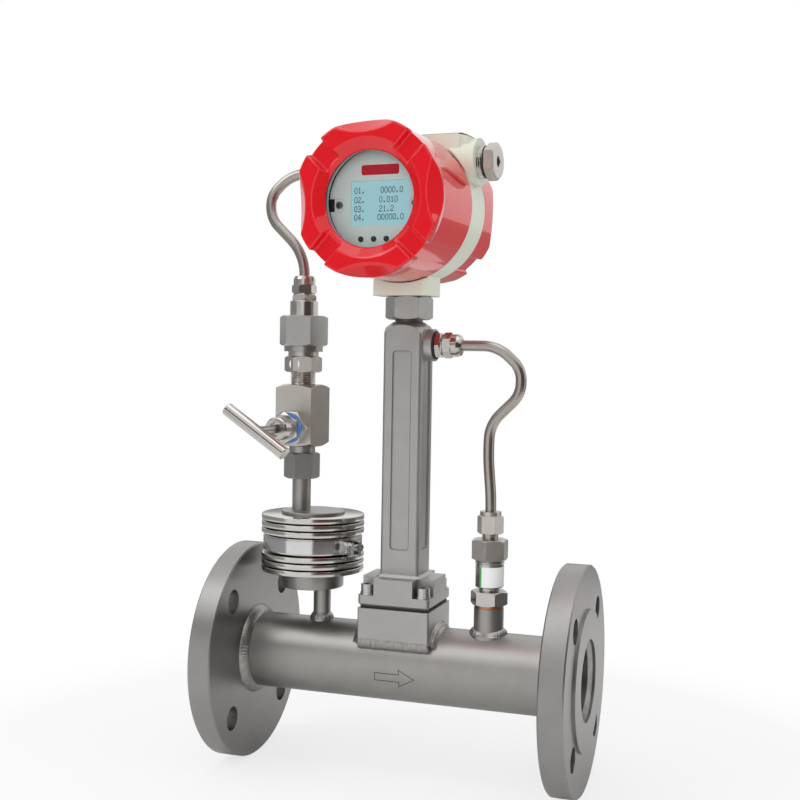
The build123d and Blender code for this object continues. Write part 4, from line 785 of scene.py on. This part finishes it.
@dataclass
class CoverShape:
    """A screwed cover with lugs, as a turned outline that notches and scallops cut into."""

    front: float
    rim: float
    inner: float
    back: float
    outline: Profile
    notch_width: float = 14.0
    notch_slope: float = 2.5
    notch_depth: float = 4.4
    notch_inner: float = 35.0
    notch_radius: float = 53.4
    scallop: float = 75.0
    clock: float = 2.5
    lugs: int = 4
    round_off: float = 0.9
    segments: int = 640

    def points(self, axis: Axis) -> np.ndarray:
        """Work out the cover's surface.

        A notch lowers every height above its floor to the floor, and pulls every radius beyond
        the barrel's in to it, where the distance across the notch's centre line is under half
        its width, with sloping sides. A scallop moves points inwards along the slope's normal by
        the smooth positive part of their distance beyond it, less t^2 / 2R at a distance t to
        its side.

        Args:
            axis: the cover's axis, heights running outwards.

        Returns:
            A grid of points, by angle and by place on the outline.
        """
        corners = soften(self.outline, self.round_off, 2)
        shape = refine(corners, 0.9, self.front - 14.0, self.notch_inner - 1.0)
        angle = np.linspace(0.0, 2 * math.pi, self.segments, endpoint=False)[:, None]
        height = np.broadcast_to(shape[None, :, 0], (self.segments, len(shape))).copy()
        radius = np.broadcast_to(shape[None, :, 1], height.shape).copy()
        clock = math.radians(self.clock)
        spread = 2 * math.pi / self.lugs
        near = (angle - clock) % spread - spread / 2
        across = np.abs(radius * np.sin(near))
        half, slope_half = self.notch_width / 2, self.notch_slope / 2
        share = 1.0 - smooth_step(across, half - slope_half, half + slope_half)
        reach = smooth_step(radius, self.notch_inner, self.notch_inner + 2.0)
        floor = self.front - self.notch_depth
        height -= share * reach * np.maximum(0.0, height - floor)
        radius -= share * np.maximum(0.0, radius - self.notch_radius)
        turned = (angle - clock + spread / 2) % spread - spread / 2
        out, side = radius * np.cos(turned), radius * np.sin(turned)
        slope = math.hypot(self.rim - self.inner, self.back)
        normal_out, normal_up = self.back / slope, (self.rim - self.inner) / slope
        beyond = (
            (out - self.inner) * normal_out
            + (height - self.front) * normal_up
            - side**2 / (2 * self.scallop)
        )
        cut = 0.5 * (beyond + np.sqrt(beyond**2 + 0.12)) * smooth_step(beyond, -1.5, -0.5)
        out, height = out - cut * normal_out, height - cut * normal_up
        return axis.place(height, np.hypot(out, side), np.arctan2(side, out) + angle - turned)

    def piece(self, name: str, axis: Axis, node: str, body: Body) -> None:
        """Make the cover, which stands for the CAD node."""
        points = self.points(axis)
        faces = grid_faces(points.shape[0], points.shape[1], True, True)
        cover = make_piece(name, points, faces, RED_PAINT, body, sharp=COVER_SHARP_ANGLE)
        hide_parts(node)


@dataclass
class DisplayHead:
    """Display housing, its covers, the display behind the window and the cable entries."""

    thread_radius: float = 47.4
    thread_low: float = 3.0
    thread_high: float = 11.0
    pitch: float = 2.0
    lcd_face: float = 61.42
    plate_face: float = 62.0
    cell: tuple[float, float] = (0.48, 0.6)
    shade_inner: float = 32.4
    shade_outer: float = 43.3
    shade_low: float = 59.3
    shade_high: float = 60.3
    gland_flats: float = 24.0
    gland_low: float = 59.9
    gland_high: float = 67.5
    gland_bore: float = 3.8
    value_rows: list[tuple[str, float, float]] = field(
        default_factory=lambda: [
            ("0000.0", 2.5, 5.6), ("0.010", 1.5, -1.0), ("21.2", 1.5, -7.3),
            ("00000.0", 0.4, -13.1), ("01.", -17.6, 5.6), ("02.", -17.6, -1.0),
            ("03.", -17.6, -7.3), ("04.", -17.6, -13.1),
        ]
    )
    glyphs: dict[str, tuple[int, ...]] = field(
        default_factory=lambda: {
            "0": (14, 17, 17, 17, 17, 17, 14), "1": (4, 12, 4, 4, 4, 4, 14),
            "2": (14, 17, 1, 6, 8, 16, 31), "3": (30, 1, 1, 14, 1, 1, 30),
            "4": (2, 6, 10, 18, 31, 2, 2), ".": (0, 0, 0, 0, 0, 12, 12),
        }
    )

    def dress(self) -> None:
        """Give the head's solids their finishes."""
        dress(CREAM_PAINT, "housing")
        dress(RED_PAINT, "front_cover", "rear_cover")
        dress(WINDOW, "window_glass")
        dress(RETAINER_METAL, "window_retainer")
        dress(BLACK_RUBBER_AND_SHADE, "front_seal", "rear_seal", "sealing_rings", "entry_bush")
        dress(WHITE_PLATE, "display_bezel")
        dress(LCD_FACE, "lcd_module")
        dress(SATIN_STEEL, "display_screws")
        dress(BLACK_PLASTIC, "button_1", "button_2", "button_3", "terminal_block")
        dress(BOARD_GREEN, "circuit_boards")
        dress(PILLAR_BRASS, "board_pillars")
        dress(PLATE_STEEL, "name_plate")
        dress(BRIGHT_STEEL, "entry_glands")

    def thread_teeth(self) -> Profile:
        """Return the thread's crests and roots on a cover, from its end to its shoulder."""
        count = int((self.thread_high - self.thread_low) / self.pitch)
        teeth = []
        for turn in range(count):
            low = self.thread_low + turn * self.pitch
            teeth += [(low, self.thread_radius - 0.9), (low + self.pitch / 2, self.thread_radius)]
        return teeth

    def covers(self) -> None:
        """Build both covers."""
        front = CoverShape(
            82.0, 54.8, 45.6, 10.5,
            [(3.0, 44.0), *self.thread_teeth(), (11.0, 46.5), (11.0, 45.4), (14.0, 45.4),
             (14.0, 53.6), (16.0, 53.6), (66.0, 53.6), (70.0, 53.6), (76.0, 54.8),
              (82.0, 54.8), (82.0, 41.0),
             (76.3, 33.6), (75.1, 33.0), (75.1, 39.35), (64.0, 39.35), (62.0, 44.0)],
        )
        front.piece("front_cover_shell", BARREL, "front_cover", Body.FRONT_COVER)
        teeth = [(height + 1.8, radius) for height, radius in self.thread_teeth()]
        rear = CoverShape(
            45.0, 52.5, 43.6, 10.0,
            [(4.8, 44.0), *teeth, (12.8, 46.5), (12.8, 45.4), (15.8, 45.4), (15.8, 52.5),
             (18.0, 52.5), (30.0, 52.5), (45.0, 52.5), (45.0, 33.0), (45.0, 2.0), (45.0, 0.0),
             (39.0, 0.0), (39.0, 2.0), (39.0, 44.0), (30.0, 44.0)],
            notch_radius=50.2,
        )
        rear.piece("rear_cover_shell", BARREL_BACK, "rear_cover", Body.REAR_COVER)

    def digits(self) -> None:
        """Print plain numbers on the display.

        A lit cell's centre is the row's start plus the cell size times (6 * letter + column)
        and (6 - line). Every cell is a box 0.03 mm thick.
        """
        centres = []
        for text, start_x, start_y in self.value_rows:
            rows = np.array([self.glyphs[letter] for letter in text])
            lit = (rows[:, :, None] >> np.arange(4, -1, -1)[None, None, :]) & 1
            letter, line, column = np.nonzero(lit)
            centres.append(
                np.stack(
                    [
                        start_x + self.cell[0] * (6 * letter + column + 0.5),
                        start_y + self.cell[1] * (6 - line + 0.5),
                    ],
                    axis=-1,
                )
            )
        middle = np.concatenate(centres)[:, None]
        half = np.array(self.cell) / 2
        corner = np.array([(-1, -1), (1, -1), (1, 1), (-1, 1)]) * half
        flat = middle + corner
        face = BARREL.flat(flat[..., 0], flat[..., 1], np.array(self.lcd_face + 0.03))
        back = BARREL.flat(flat[..., 0], flat[..., 1], np.array(self.lcd_face - 0.01))
        points = np.concatenate([face, back], axis=1)
        cube = np.array([(0, 1, 2, 3), (7, 6, 5, 4), (0, 4, 5, 1), (1, 5, 6, 2), (2, 6, 7, 3),
                         (3, 7, 4, 0)])
        faces = (np.arange(len(middle))[:, None, None] * 8 + cube).reshape(-1, 4)
        make_piece("display_numbers", points, faces, INK_AND_SLOT_SHADE, Body.METER, closed=False)

    def plaque(self) -> None:
        """Fix the bare red plaque on the white plate, its face a grid with rounded corners."""
        left, right, low, high, corner = -12.0, 16.5, 18.2, 25.2, 1.2
        across = np.linspace(-1.0, 1.0, 41)[None, :]
        up = np.linspace(-1.0, 1.0, 2)[:, None]
        half_x, half_y = (right - left) / 2, (high - low) / 2
        edge = np.maximum(0.0, np.abs(across) * half_x - (half_x - corner))
        trim = corner - np.sqrt(np.maximum(0.0, corner**2 - edge**2))
        x = (left + right) / 2 + across * half_x + 0.0 * up
        y = (low + high) / 2 + up * (half_y - trim)
        face = BARREL.flat(x, y, np.array(self.plate_face + 0.25))
        back = BARREL.flat(x, y, np.array(self.plate_face + 0.01))
        patch_piece("red_plaque", face, back, RED_PLAQUE, Body.METER)

    def screw_slots(self) -> None:
        """Lay the cross on each display screw's head as thin dark bars: painted shade standing for
        the cross recess.
        """
        for side, word in ((-1, "left"), (1, "right")):
            for long_x, long_y, way in ((3.2, 0.7, "a"), (0.7, 3.2, "b")):
                x = side * 28.8 + np.array([[-1, 1], [-1, 1]]) * long_x / 2
                y = -2.1 + np.array([[-1, -1], [1, 1]]) * long_y / 2
                face = BARREL.flat(x, y, np.array(63.04))
                back = BARREL.flat(x, y, np.array(62.8))
                patch_piece(f"screw_slot_shade_{word}_{way}", face, back, INK_AND_SLOT_SHADE, Body.METER)

    def corner_fill(self) -> None:
        """Carry the block's cream corners out under both sloping ends of the top plate."""
        up = np.array([[39.0, 39.0], [52.9, 51.2]])
        for side, word in ((-1, "left"), (1, "right")):
            right = side * np.array([[41.5, 48.1], [41.5, 48.1]])
            face = BARREL.flat(right, up, np.array(11.7))
            back = BARREL.flat(right, up, np.array(-11.7))
            patch_piece(f"block_corner_{word}", face, back, CREAM_PAINT, Body.METER)

    def shade_ring(self) -> None:
        """Close the gap round the white plate with a black ring: painted shade where the gap
        behind the plate lies in shadow.
        """
        low, high = self.shade_low, self.shade_high
        ring = [(low, self.shade_inner), (low, self.shade_outer), (high, self.shade_outer),
                (high, self.shade_inner)]
        turned_piece("painted_shade_ring", BARREL, soften(ring, 0.2, 2), BLACK_RUBBER_AND_SHADE, Body.METER)

    def entries(self) -> None:
        """Make both entries' screwed glands and the thread that shows behind them."""
        low, high, bore = self.gland_low, self.gland_high, self.gland_bore
        corner = self.gland_flats / 2 / math.cos(math.pi / 6)
        outline = [
            (low - 10.4, bore), (low - 10.4, 11.0), (low, 11.0), (low, corner - 0.9),
            (low + 0.6, corner + 0.1), (high - 1.1, corner + 0.1), (high, corner - 1.9),
            (high, bore + 0.5), (high - 0.5, bore),
        ]
        shape = refine(np.array(outline), 0.5)
        for axis, word in ((RIGHT_ENTRY, "right"), (LEFT_ENTRY, "left")):
            thread_piece(f"entry_thread_{word}", axis, 53.6, 58.1, 11.0, 1.5, BRIGHT_STEEL,
                         Body.METER)
            gland = hexagon_piece(f"entry_gland_{word}", axis, shape, self.gland_flats,
                                  SATIN_NICKEL, Body.METER)
            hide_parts("entry_glands")

    def build(self) -> None:
        """Build the covers, the display's print and the entries' threads."""
        self.covers()
        self.digits()
        self.plaque()
        self.screw_slots()
        self.corner_fill()
        self.shade_ring()
        self.entries()


@dataclass
class PressureBranch:
    """Stub, cooler, needle valve, pressure sensor and conduit."""

    cooler_low: float = 52.8
    collar_radius: float = 24.0
    collar_height: float = 12.4
    core_radius: float = 26.0
    fin_radius: float = 39.25
    fin_thickness: float = 4.1
    fin_gap: float = 1.05
    fins: int = 3
    land_radius: float = 36.5
    land_height: float = 12.6
    cap_radius: float = 24.3
    cap_height: float = 2.3
    connector_low: float = 207.3
    connector_high: float = 216.5
    connector_radius: float = 9.0
    marker_low: float = 23.0
    marker_high: float = 28.2
    marker_radius: float = 11.7

    def dress(self) -> None:
        """Give the branch's solids their finishes."""
        dress(BLASTED_STEEL, "pressure_stub", "riser_pipe")
        dress(TURNED_METAL, "cooler")
        dress(SATIN_STEEL, "pressure_sensor_body", "riser_nut")
        dress(BAND_STEEL, "clamp_band")
        dress(ZINC_STEEL, "clamp_bolt", "clamp_nut")
        dress(VALVE_STEEL, "valve_body")
        dress(BRIGHT_STEEL, "lock_nut", "packing_gland", "valve_handle", "pressure_sensor_cap",
              "conduit_gland_bodies", "conduit_gland_nuts")
        dress(SATIN_NICKEL, "valve_bonnet", "gauge_connector")
        dress(MACHINED_STEEL, "valve_stem")
        dress(BLUE_PLASTIC, "marker_ring")
        dress(CONDUIT_STEEL, "pressure_conduit")

    def cooler(self) -> None:
        """Turn the cooler with rounded fins, in place of its plain solid."""
        pitch = self.fin_thickness + self.fin_gap
        collar = self.cooler_low + self.collar_height
        land_low = collar + self.fins * pitch
        land_high = land_low + self.land_height
        top = land_high + self.fins * pitch
        outline = [(collar - 0.4, 0.0), (collar - 0.4, self.core_radius)]
        lower = [collar + pitch * n for n in range(self.fins)]
        upper = [land_high + self.fin_gap + pitch * n for n in range(self.fins)]
        for start in lower:
            outline += [(start, self.core_radius), (start, self.fin_radius)]
            outline += [(start + self.fin_thickness, self.fin_radius)]
            outline += [(start + self.fin_thickness, self.core_radius)]
        outline += [(land_low, self.core_radius), (land_low, self.land_radius)]
        outline += [(land_high, self.land_radius), (land_high, self.core_radius)]
        for start in upper:
            outline += [(start, self.core_radius), (start, self.fin_radius)]
            outline += [(start + self.fin_thickness, self.fin_radius)]
            outline += [(start + self.fin_thickness, self.core_radius)]
        outline = outline[:-1] + [(top, 0.0)]
        shape = soften(outline, 0.9, 3)
        shape[:, 1] = np.where(shape[:, 1] < 0.95, 0.0, shape[:, 1])
        fins = turned_piece("cooler_fins", COOLER, shape, TURNED_METAL, Body.METER, 144)
        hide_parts("cooler")
        for name, low, high, radius in (
            ("cooler_collar", self.cooler_low, collar, self.collar_radius),
            ("cooler_cap", top - 0.3, top + self.cap_height, self.cap_radius),
        ):
            ring = soften([(low, 0.0), (low, radius), (high, radius), (high, 0.0)], 0.9, 4)
            ring[:, 1] = np.where(ring[:, 1] < 0.95, 0.0, ring[:, 1])
            piece = turned_piece(name, COOLER, ring, BLASTED_STEEL, Body.METER, 144)
            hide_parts("cooler")

    def marker(self) -> None:
        """Make the blue marker ring, a band that also hides the back of the lock nut."""
        low, high, outer = self.marker_low, self.marker_high, self.marker_radius
        ring = [(low, 8.1), (low, outer), (high, outer), (high, 8.1)]
        piece = turned_piece("marker_band", NEEDLE, soften(ring, 0.5, 3), BLUE_PLASTIC,
                             Body.METER)
        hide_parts("marker_ring")

    def sticker(self) -> None:
        """Put the small plain round sticker on the connector hexagon's left front face."""
        facing = math.radians(24 - 120) - STACK_TURN
        out = (math.cos(facing), math.sin(facing), 0.0)
        centre = (55 + out[0] * 12.5, out[1] * 12.5, 222.7)
        axis = Axis(centre, out, (-out[1], out[0], 0.0))
        for name, low, outer, finish in (
            ("round_sticker", 0.02, 4.6, WHITE_LABEL),
            ("sticker_mark", 0.07, 2.6, PALE_PINK),
        ):
            ring = np.array([(low, 0.0), (low, outer), (low + 0.06, outer), (low + 0.06, 0.0)])
            turned_piece(name, axis, ring, finish, Body.METER, 40)

    def build(self) -> None:
        """Build the cooler, the connector's thread and the sticker."""
        self.cooler()
        self.marker()
        thread_piece("connector_thread", STACK, self.connector_low - 0.3,
                     self.connector_high + 0.3, self.connector_radius, 1.5, BRIGHT_STEEL,
                     Body.METER)
        self.sticker()


@dataclass
class TemperatureBranch:
    """Boss, washer, well, probe, nuts and conduit."""

    well_radius: float = 10.5
    thread_low: float = 79.0
    union_low: float = 82.3
    label_low: float = 63.2
    label_high: float = 77.8
    label_start: float = -118.0
    label_end: float = 70.0
    stripe_width: float = 9.0

    def dress(self) -> None:
        """Give the branch's solids their finishes."""
        dress(BLASTED_STEEL, "temperature_boss")
        dress(COPPER, "copper_washer")
        dress(BRIGHT_STEEL, "temperature_well")
        dress(SATIN_NICKEL, "union_nut", "top_nut")
        dress(MACHINED_STEEL, "temperature_probe")
        dress(CONDUIT_STEEL, "temperature_conduit")

    def wrap(self, name: str, start: float, end: float, lift: float, finish: Finish) -> None:
        """Wrap a thin label round the well between two angles in degrees."""
        angle = np.radians(np.linspace(start, end, 48))[None, :]
        height = np.linspace(self.label_low, self.label_high, 2)[:, None]
        face = TEMPERATURE.place(height, self.well_radius + lift, angle)
        back = TEMPERATURE.place(height, self.well_radius + lift - 0.04, angle)
        patch_piece(name, face, back, finish, Body.METER)

    def build(self) -> None:
        """Build the well's thread under the union nut and the bare label with its stripe."""
        thread_piece("well_thread", TEMPERATURE, self.thread_low, self.union_low + 0.5,
                     self.well_radius - 0.25, 1.5, BRIGHT_STEEL, Body.METER)
        self.wrap("well_label", self.label_start, self.label_end, 0.06, WHITE_LABEL)
        self.wrap("label_stripe", self.label_start, self.label_start + self.stripe_width, 0.10,
                  GREEN_STRIPE)


@dataclass
class Studio:
    """Pale floor, pale surroundings, soft lamps and the camera."""

    floor: float = -82.5
    centre: Vec = (140.0, 0.0, 150.0)
    camera: Vec = (428.0, -866.8, 230.5)
    target: Vec = (133.91, 0.0, 197.305)
    roll: float = 0.958
    focal_pixels: float = 1223.54
    image_pixels: float = 800.0
    sensor: float = 36.0
    floor_veil: float = 0.72
    ambient: float = 0.60

    def light_path(self, tree: bpy.types.NodeTree) -> bpy.types.NodeSocket:
        """Return a socket that is 1 for camera, glossy and transmission rays and 0 for others."""
        path = tree.nodes.new("ShaderNodeLightPath")
        found = path.outputs["Is Camera Ray"]
        for word in ("Is Glossy Ray", "Is Transmission Ray"):
            larger = tree.nodes.new("ShaderNodeMath")
            larger.operation = "MAXIMUM"
            tree.links.new(found, larger.inputs[0])
            tree.links.new(path.outputs[word], larger.inputs[1])
            found = larger.outputs["Value"]
        return found

    def world(self) -> None:
        """Surround the scene: white where it is seen or mirrored, plain soft light elsewhere."""
        world = bpy.data.worlds.new("pale_studio")
        bpy.context.scene.world = world
        world.use_nodes = True
        tree = world.node_tree
        seen = tree.nodes["Background"]
        seen.inputs["Color"].default_value = (1, 1, 1, 1)
        seen.inputs["Strength"].default_value = 1.0
        soft = tree.nodes.new("ShaderNodeBackground")
        soft.inputs["Color"].default_value = (1, 1, 1, 1)
        soft.inputs["Strength"].default_value = self.ambient
        mix = tree.nodes.new("ShaderNodeMixShader")
        tree.links.new(self.light_path(tree), mix.inputs["Fac"])
        tree.links.new(soft.outputs["Background"], mix.inputs[1])
        tree.links.new(seen.outputs["Background"], mix.inputs[2])
        tree.links.new(mix.outputs["Shader"], tree.nodes["World Output"].inputs["Surface"])

    def floor_disc(self) -> None:
        """Lay the floor: matt and pale near the object, turning into white further out."""
        angle = np.linspace(0.0, 2 * math.pi, 96, endpoint=False)[:, None]
        radius = np.linspace(1.0, 2600.0, 30)[None, :]
        axis = Axis((140, 0, self.floor), (0, 0, 1), (1, 0, 0))
        points = axis.place(np.zeros((1, 1)), radius, angle).reshape(-1, 3) * MILLIMETRE
        mesh = bpy.data.meshes.new("floor")
        faces = grid_faces(96, 30, True, False)[:, ::-1]
        mesh.from_pydata(points.tolist(), [], [*faces.tolist(), list(range(0, 96 * 30, 30))])
        material = bpy.data.materials.new("pale_floor")
        material.use_nodes = True
        tree = material.node_tree
        matt = tree.nodes["Principled BSDF"]
        matt.inputs["Base Color"].default_value = (0.93, 0.93, 0.93, 1)
        matt.inputs["Roughness"].default_value = 0.9
        matt.inputs["Specular IOR Level"].default_value = 0.1
        glow = tree.nodes.new("ShaderNodeEmission")
        place = tree.nodes.new("ShaderNodeTexCoord")
        shift = tree.nodes.new("ShaderNodeMapping")
        shift.inputs["Location"].default_value = (-0.14, 0, -self.floor * MILLIMETRE)
        distance = tree.nodes.new("ShaderNodeVectorMath")
        distance.operation = "LENGTH"
        fade = tree.nodes.new("ShaderNodeMapRange")
        fade.interpolation_type = "SMOOTHSTEP"
        fade.inputs["From Min"].default_value = 0.14
        fade.inputs["From Max"].default_value = 0.45
        both = tree.nodes.new("ShaderNodeMath")
        both.operation = "MULTIPLY"
        camera = tree.nodes.new("ShaderNodeLightPath")
        veil = tree.nodes.new("ShaderNodeMath")
        veil.operation = "MULTIPLY"
        veil.inputs[1].default_value = self.floor_veil
        share = tree.nodes.new("ShaderNodeMath")
        share.operation = "MAXIMUM"
        mix = tree.nodes.new("ShaderNodeMixShader")
        tree.links.new(place.outputs["Object"], shift.inputs["Vector"])
        tree.links.new(shift.outputs["Vector"], distance.inputs[0])
        tree.links.new(distance.outputs["Value"], fade.inputs["Value"])
        tree.links.new(fade.outputs["Result"], both.inputs[0])
        tree.links.new(self.light_path(tree), both.inputs[1])
        tree.links.new(camera.outputs["Is Camera Ray"], veil.inputs[0])
        tree.links.new(both.outputs["Value"], share.inputs[0])
        tree.links.new(veil.outputs["Value"], share.inputs[1])
        tree.links.new(share.outputs["Value"], mix.inputs["Fac"])
        tree.links.new(matt.outputs["BSDF"], mix.inputs[1])
        tree.links.new(glow.outputs["Emission"], mix.inputs[2])
        tree.links.new(mix.outputs["Shader"], tree.nodes["Material Output"].inputs["Surface"])
        mesh.materials.append(material)
        disc = bpy.data.objects.new("floor", mesh)
        bpy.context.scene.collection.objects.link(disc)

    def card(self, name: str, start: float, end: float, low: float, high: float,
             radius: float, color: Vec) -> None:
        """Stand a curved card round the scene that only mirrors see.

        Args:
            name: the card's name.
            start: the angle where it starts, in degrees from -Y towards +X.
            end: the angle where it ends.
            low: its lower edge.
            high: its upper edge.
            radius: its distance from the meter's axis.
            color: what it shows.
        """
        angle = np.radians(np.linspace(start, end, 24) - 90.0)[:, None]
        height = np.linspace(low, high, 2)[None, :]
        axis = Axis((140, 0, 0), (0, 0, 1), (1, 0, 0))
        points = axis.place(height, np.full_like(height, radius), angle).reshape(-1, 3)
        mesh = bpy.data.meshes.new(name)
        faces = grid_faces(24, 2, False, False)
        mesh.from_pydata((points * MILLIMETRE).tolist(), [], faces.tolist())
        material = bpy.data.materials.new(name)
        material.use_nodes = True
        tree = material.node_tree
        glow = tree.nodes.new("ShaderNodeEmission")
        glow.inputs["Color"].default_value = (*color, 1.0)
        tree.links.new(glow.outputs["Emission"], tree.nodes["Material Output"].inputs["Surface"])
        mesh.materials.append(material)
        card = bpy.data.objects.new(name, mesh)
        bpy.context.scene.collection.objects.link(card)
        card.visible_camera = False
        card.visible_diffuse = False
        card.visible_shadow = False
        card.visible_transmission = False

    def lamp(self, name: str, turn: float, height: float, distance: float, size: float,
             radiance: float, mirrored: bool = True) -> None:
        """Hang a square soft lamp that looks at the object.

        Args:
            name: the lamp's name.
            turn: its direction in degrees from -Y towards +X.
            height: its height in metres.
            distance: its distance from the object's axis in metres.
            size: the length of its sides in metres.
            radiance: how bright its face is, where 1 is white.
            mirrored: whether glossy surfaces mirror its face.
        """
        data = bpy.data.lights.new(name, "AREA")
        data.shape = "SQUARE"
        data.size = size
        data.energy = radiance * math.pi * size * size
        lamp = bpy.data.objects.new(name, data)
        bpy.context.scene.collection.objects.link(lamp)
        way = math.radians(turn)
        place = np.array([0.14 + math.sin(way) * distance, -math.cos(way) * distance, height])
        look = np.array(self.centre) * MILLIMETRE - place
        lamp.location = place
        lamp.rotation_euler = Vector(look).to_track_quat("-Z", "Y").to_euler()
        lamp.visible_camera = False
        lamp.visible_glossy = mirrored

    def place_camera(self) -> None:
        """Set the camera where the photograph was taken from, with its small roll."""
        eye, target = np.array(self.camera), np.array(self.target)
        forward = (target - eye) / np.linalg.norm(target - eye)
        level = np.cross(forward, (0, 0, 1))
        level /= np.linalg.norm(level)
        up = np.cross(level, forward)
        roll = math.radians(self.roll)
        right = math.cos(roll) * level + math.sin(roll) * up
        top = np.cross(right, forward)
        matrix = np.eye(4)
        matrix[:3, 0], matrix[:3, 1], matrix[:3, 2] = right, top, -forward
        matrix[:3, 3] = eye * MILLIMETRE
        data = bpy.data.cameras.new("camera")
        data.sensor_width = self.sensor
        data.lens = self.focal_pixels / self.image_pixels * self.sensor
        camera = bpy.data.objects.new("camera", data)
        bpy.context.scene.collection.objects.link(camera)
        camera.matrix_world = Matrix(matrix.tolist())
        bpy.context.scene.camera = camera

    def build(self) -> None:
        """Build the studio."""
        bpy.context.scene.view_settings.view_transform = "Standard"
        self.world()
        self.floor_disc()
        self.card("dark_card", 17, 92, -82, 760, 850, (0.09, 0.074, 0.066))
        self.card("grey_card", -121, -44, -82, 900, 900, (0.36, 0.36, 0.36))
        self.card("window_card", -44, -12, 325, 600, 900, (0.10, 0.09, 0.09))
        self.card("back_card", 118, 242, -82, 250, 950, (0.30, 0.29, 0.28))
        self.lamp("key_lamp", -52, 1.95, 2.1, 1.9, 1.7)
        self.lamp("side_lamp", 80, 1.15, 2.3, 1.3, 1.1)
        self.lamp("top_lamp", 10, 2.4, 0.3, 1.6, 0.9)
        self.lamp("front_lamp", 14, 0.55, 2.2, 1.2, 2.7, mirrored=False)
        self.place_camera()


def main() -> None:
    """Build and dress every sub-assembly, then the studio."""
    logging.basicConfig(level=logging.INFO, format="%(message)s")
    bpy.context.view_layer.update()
    for part in (FlowLine(), Column(), DisplayHead(), PressureBranch(), TemperatureBranch()):
        part.dress()
        part.build()
        LOG.info("%s done", type(part).__name__)
    Studio().build()


if __name__ == "__main__":
    main()
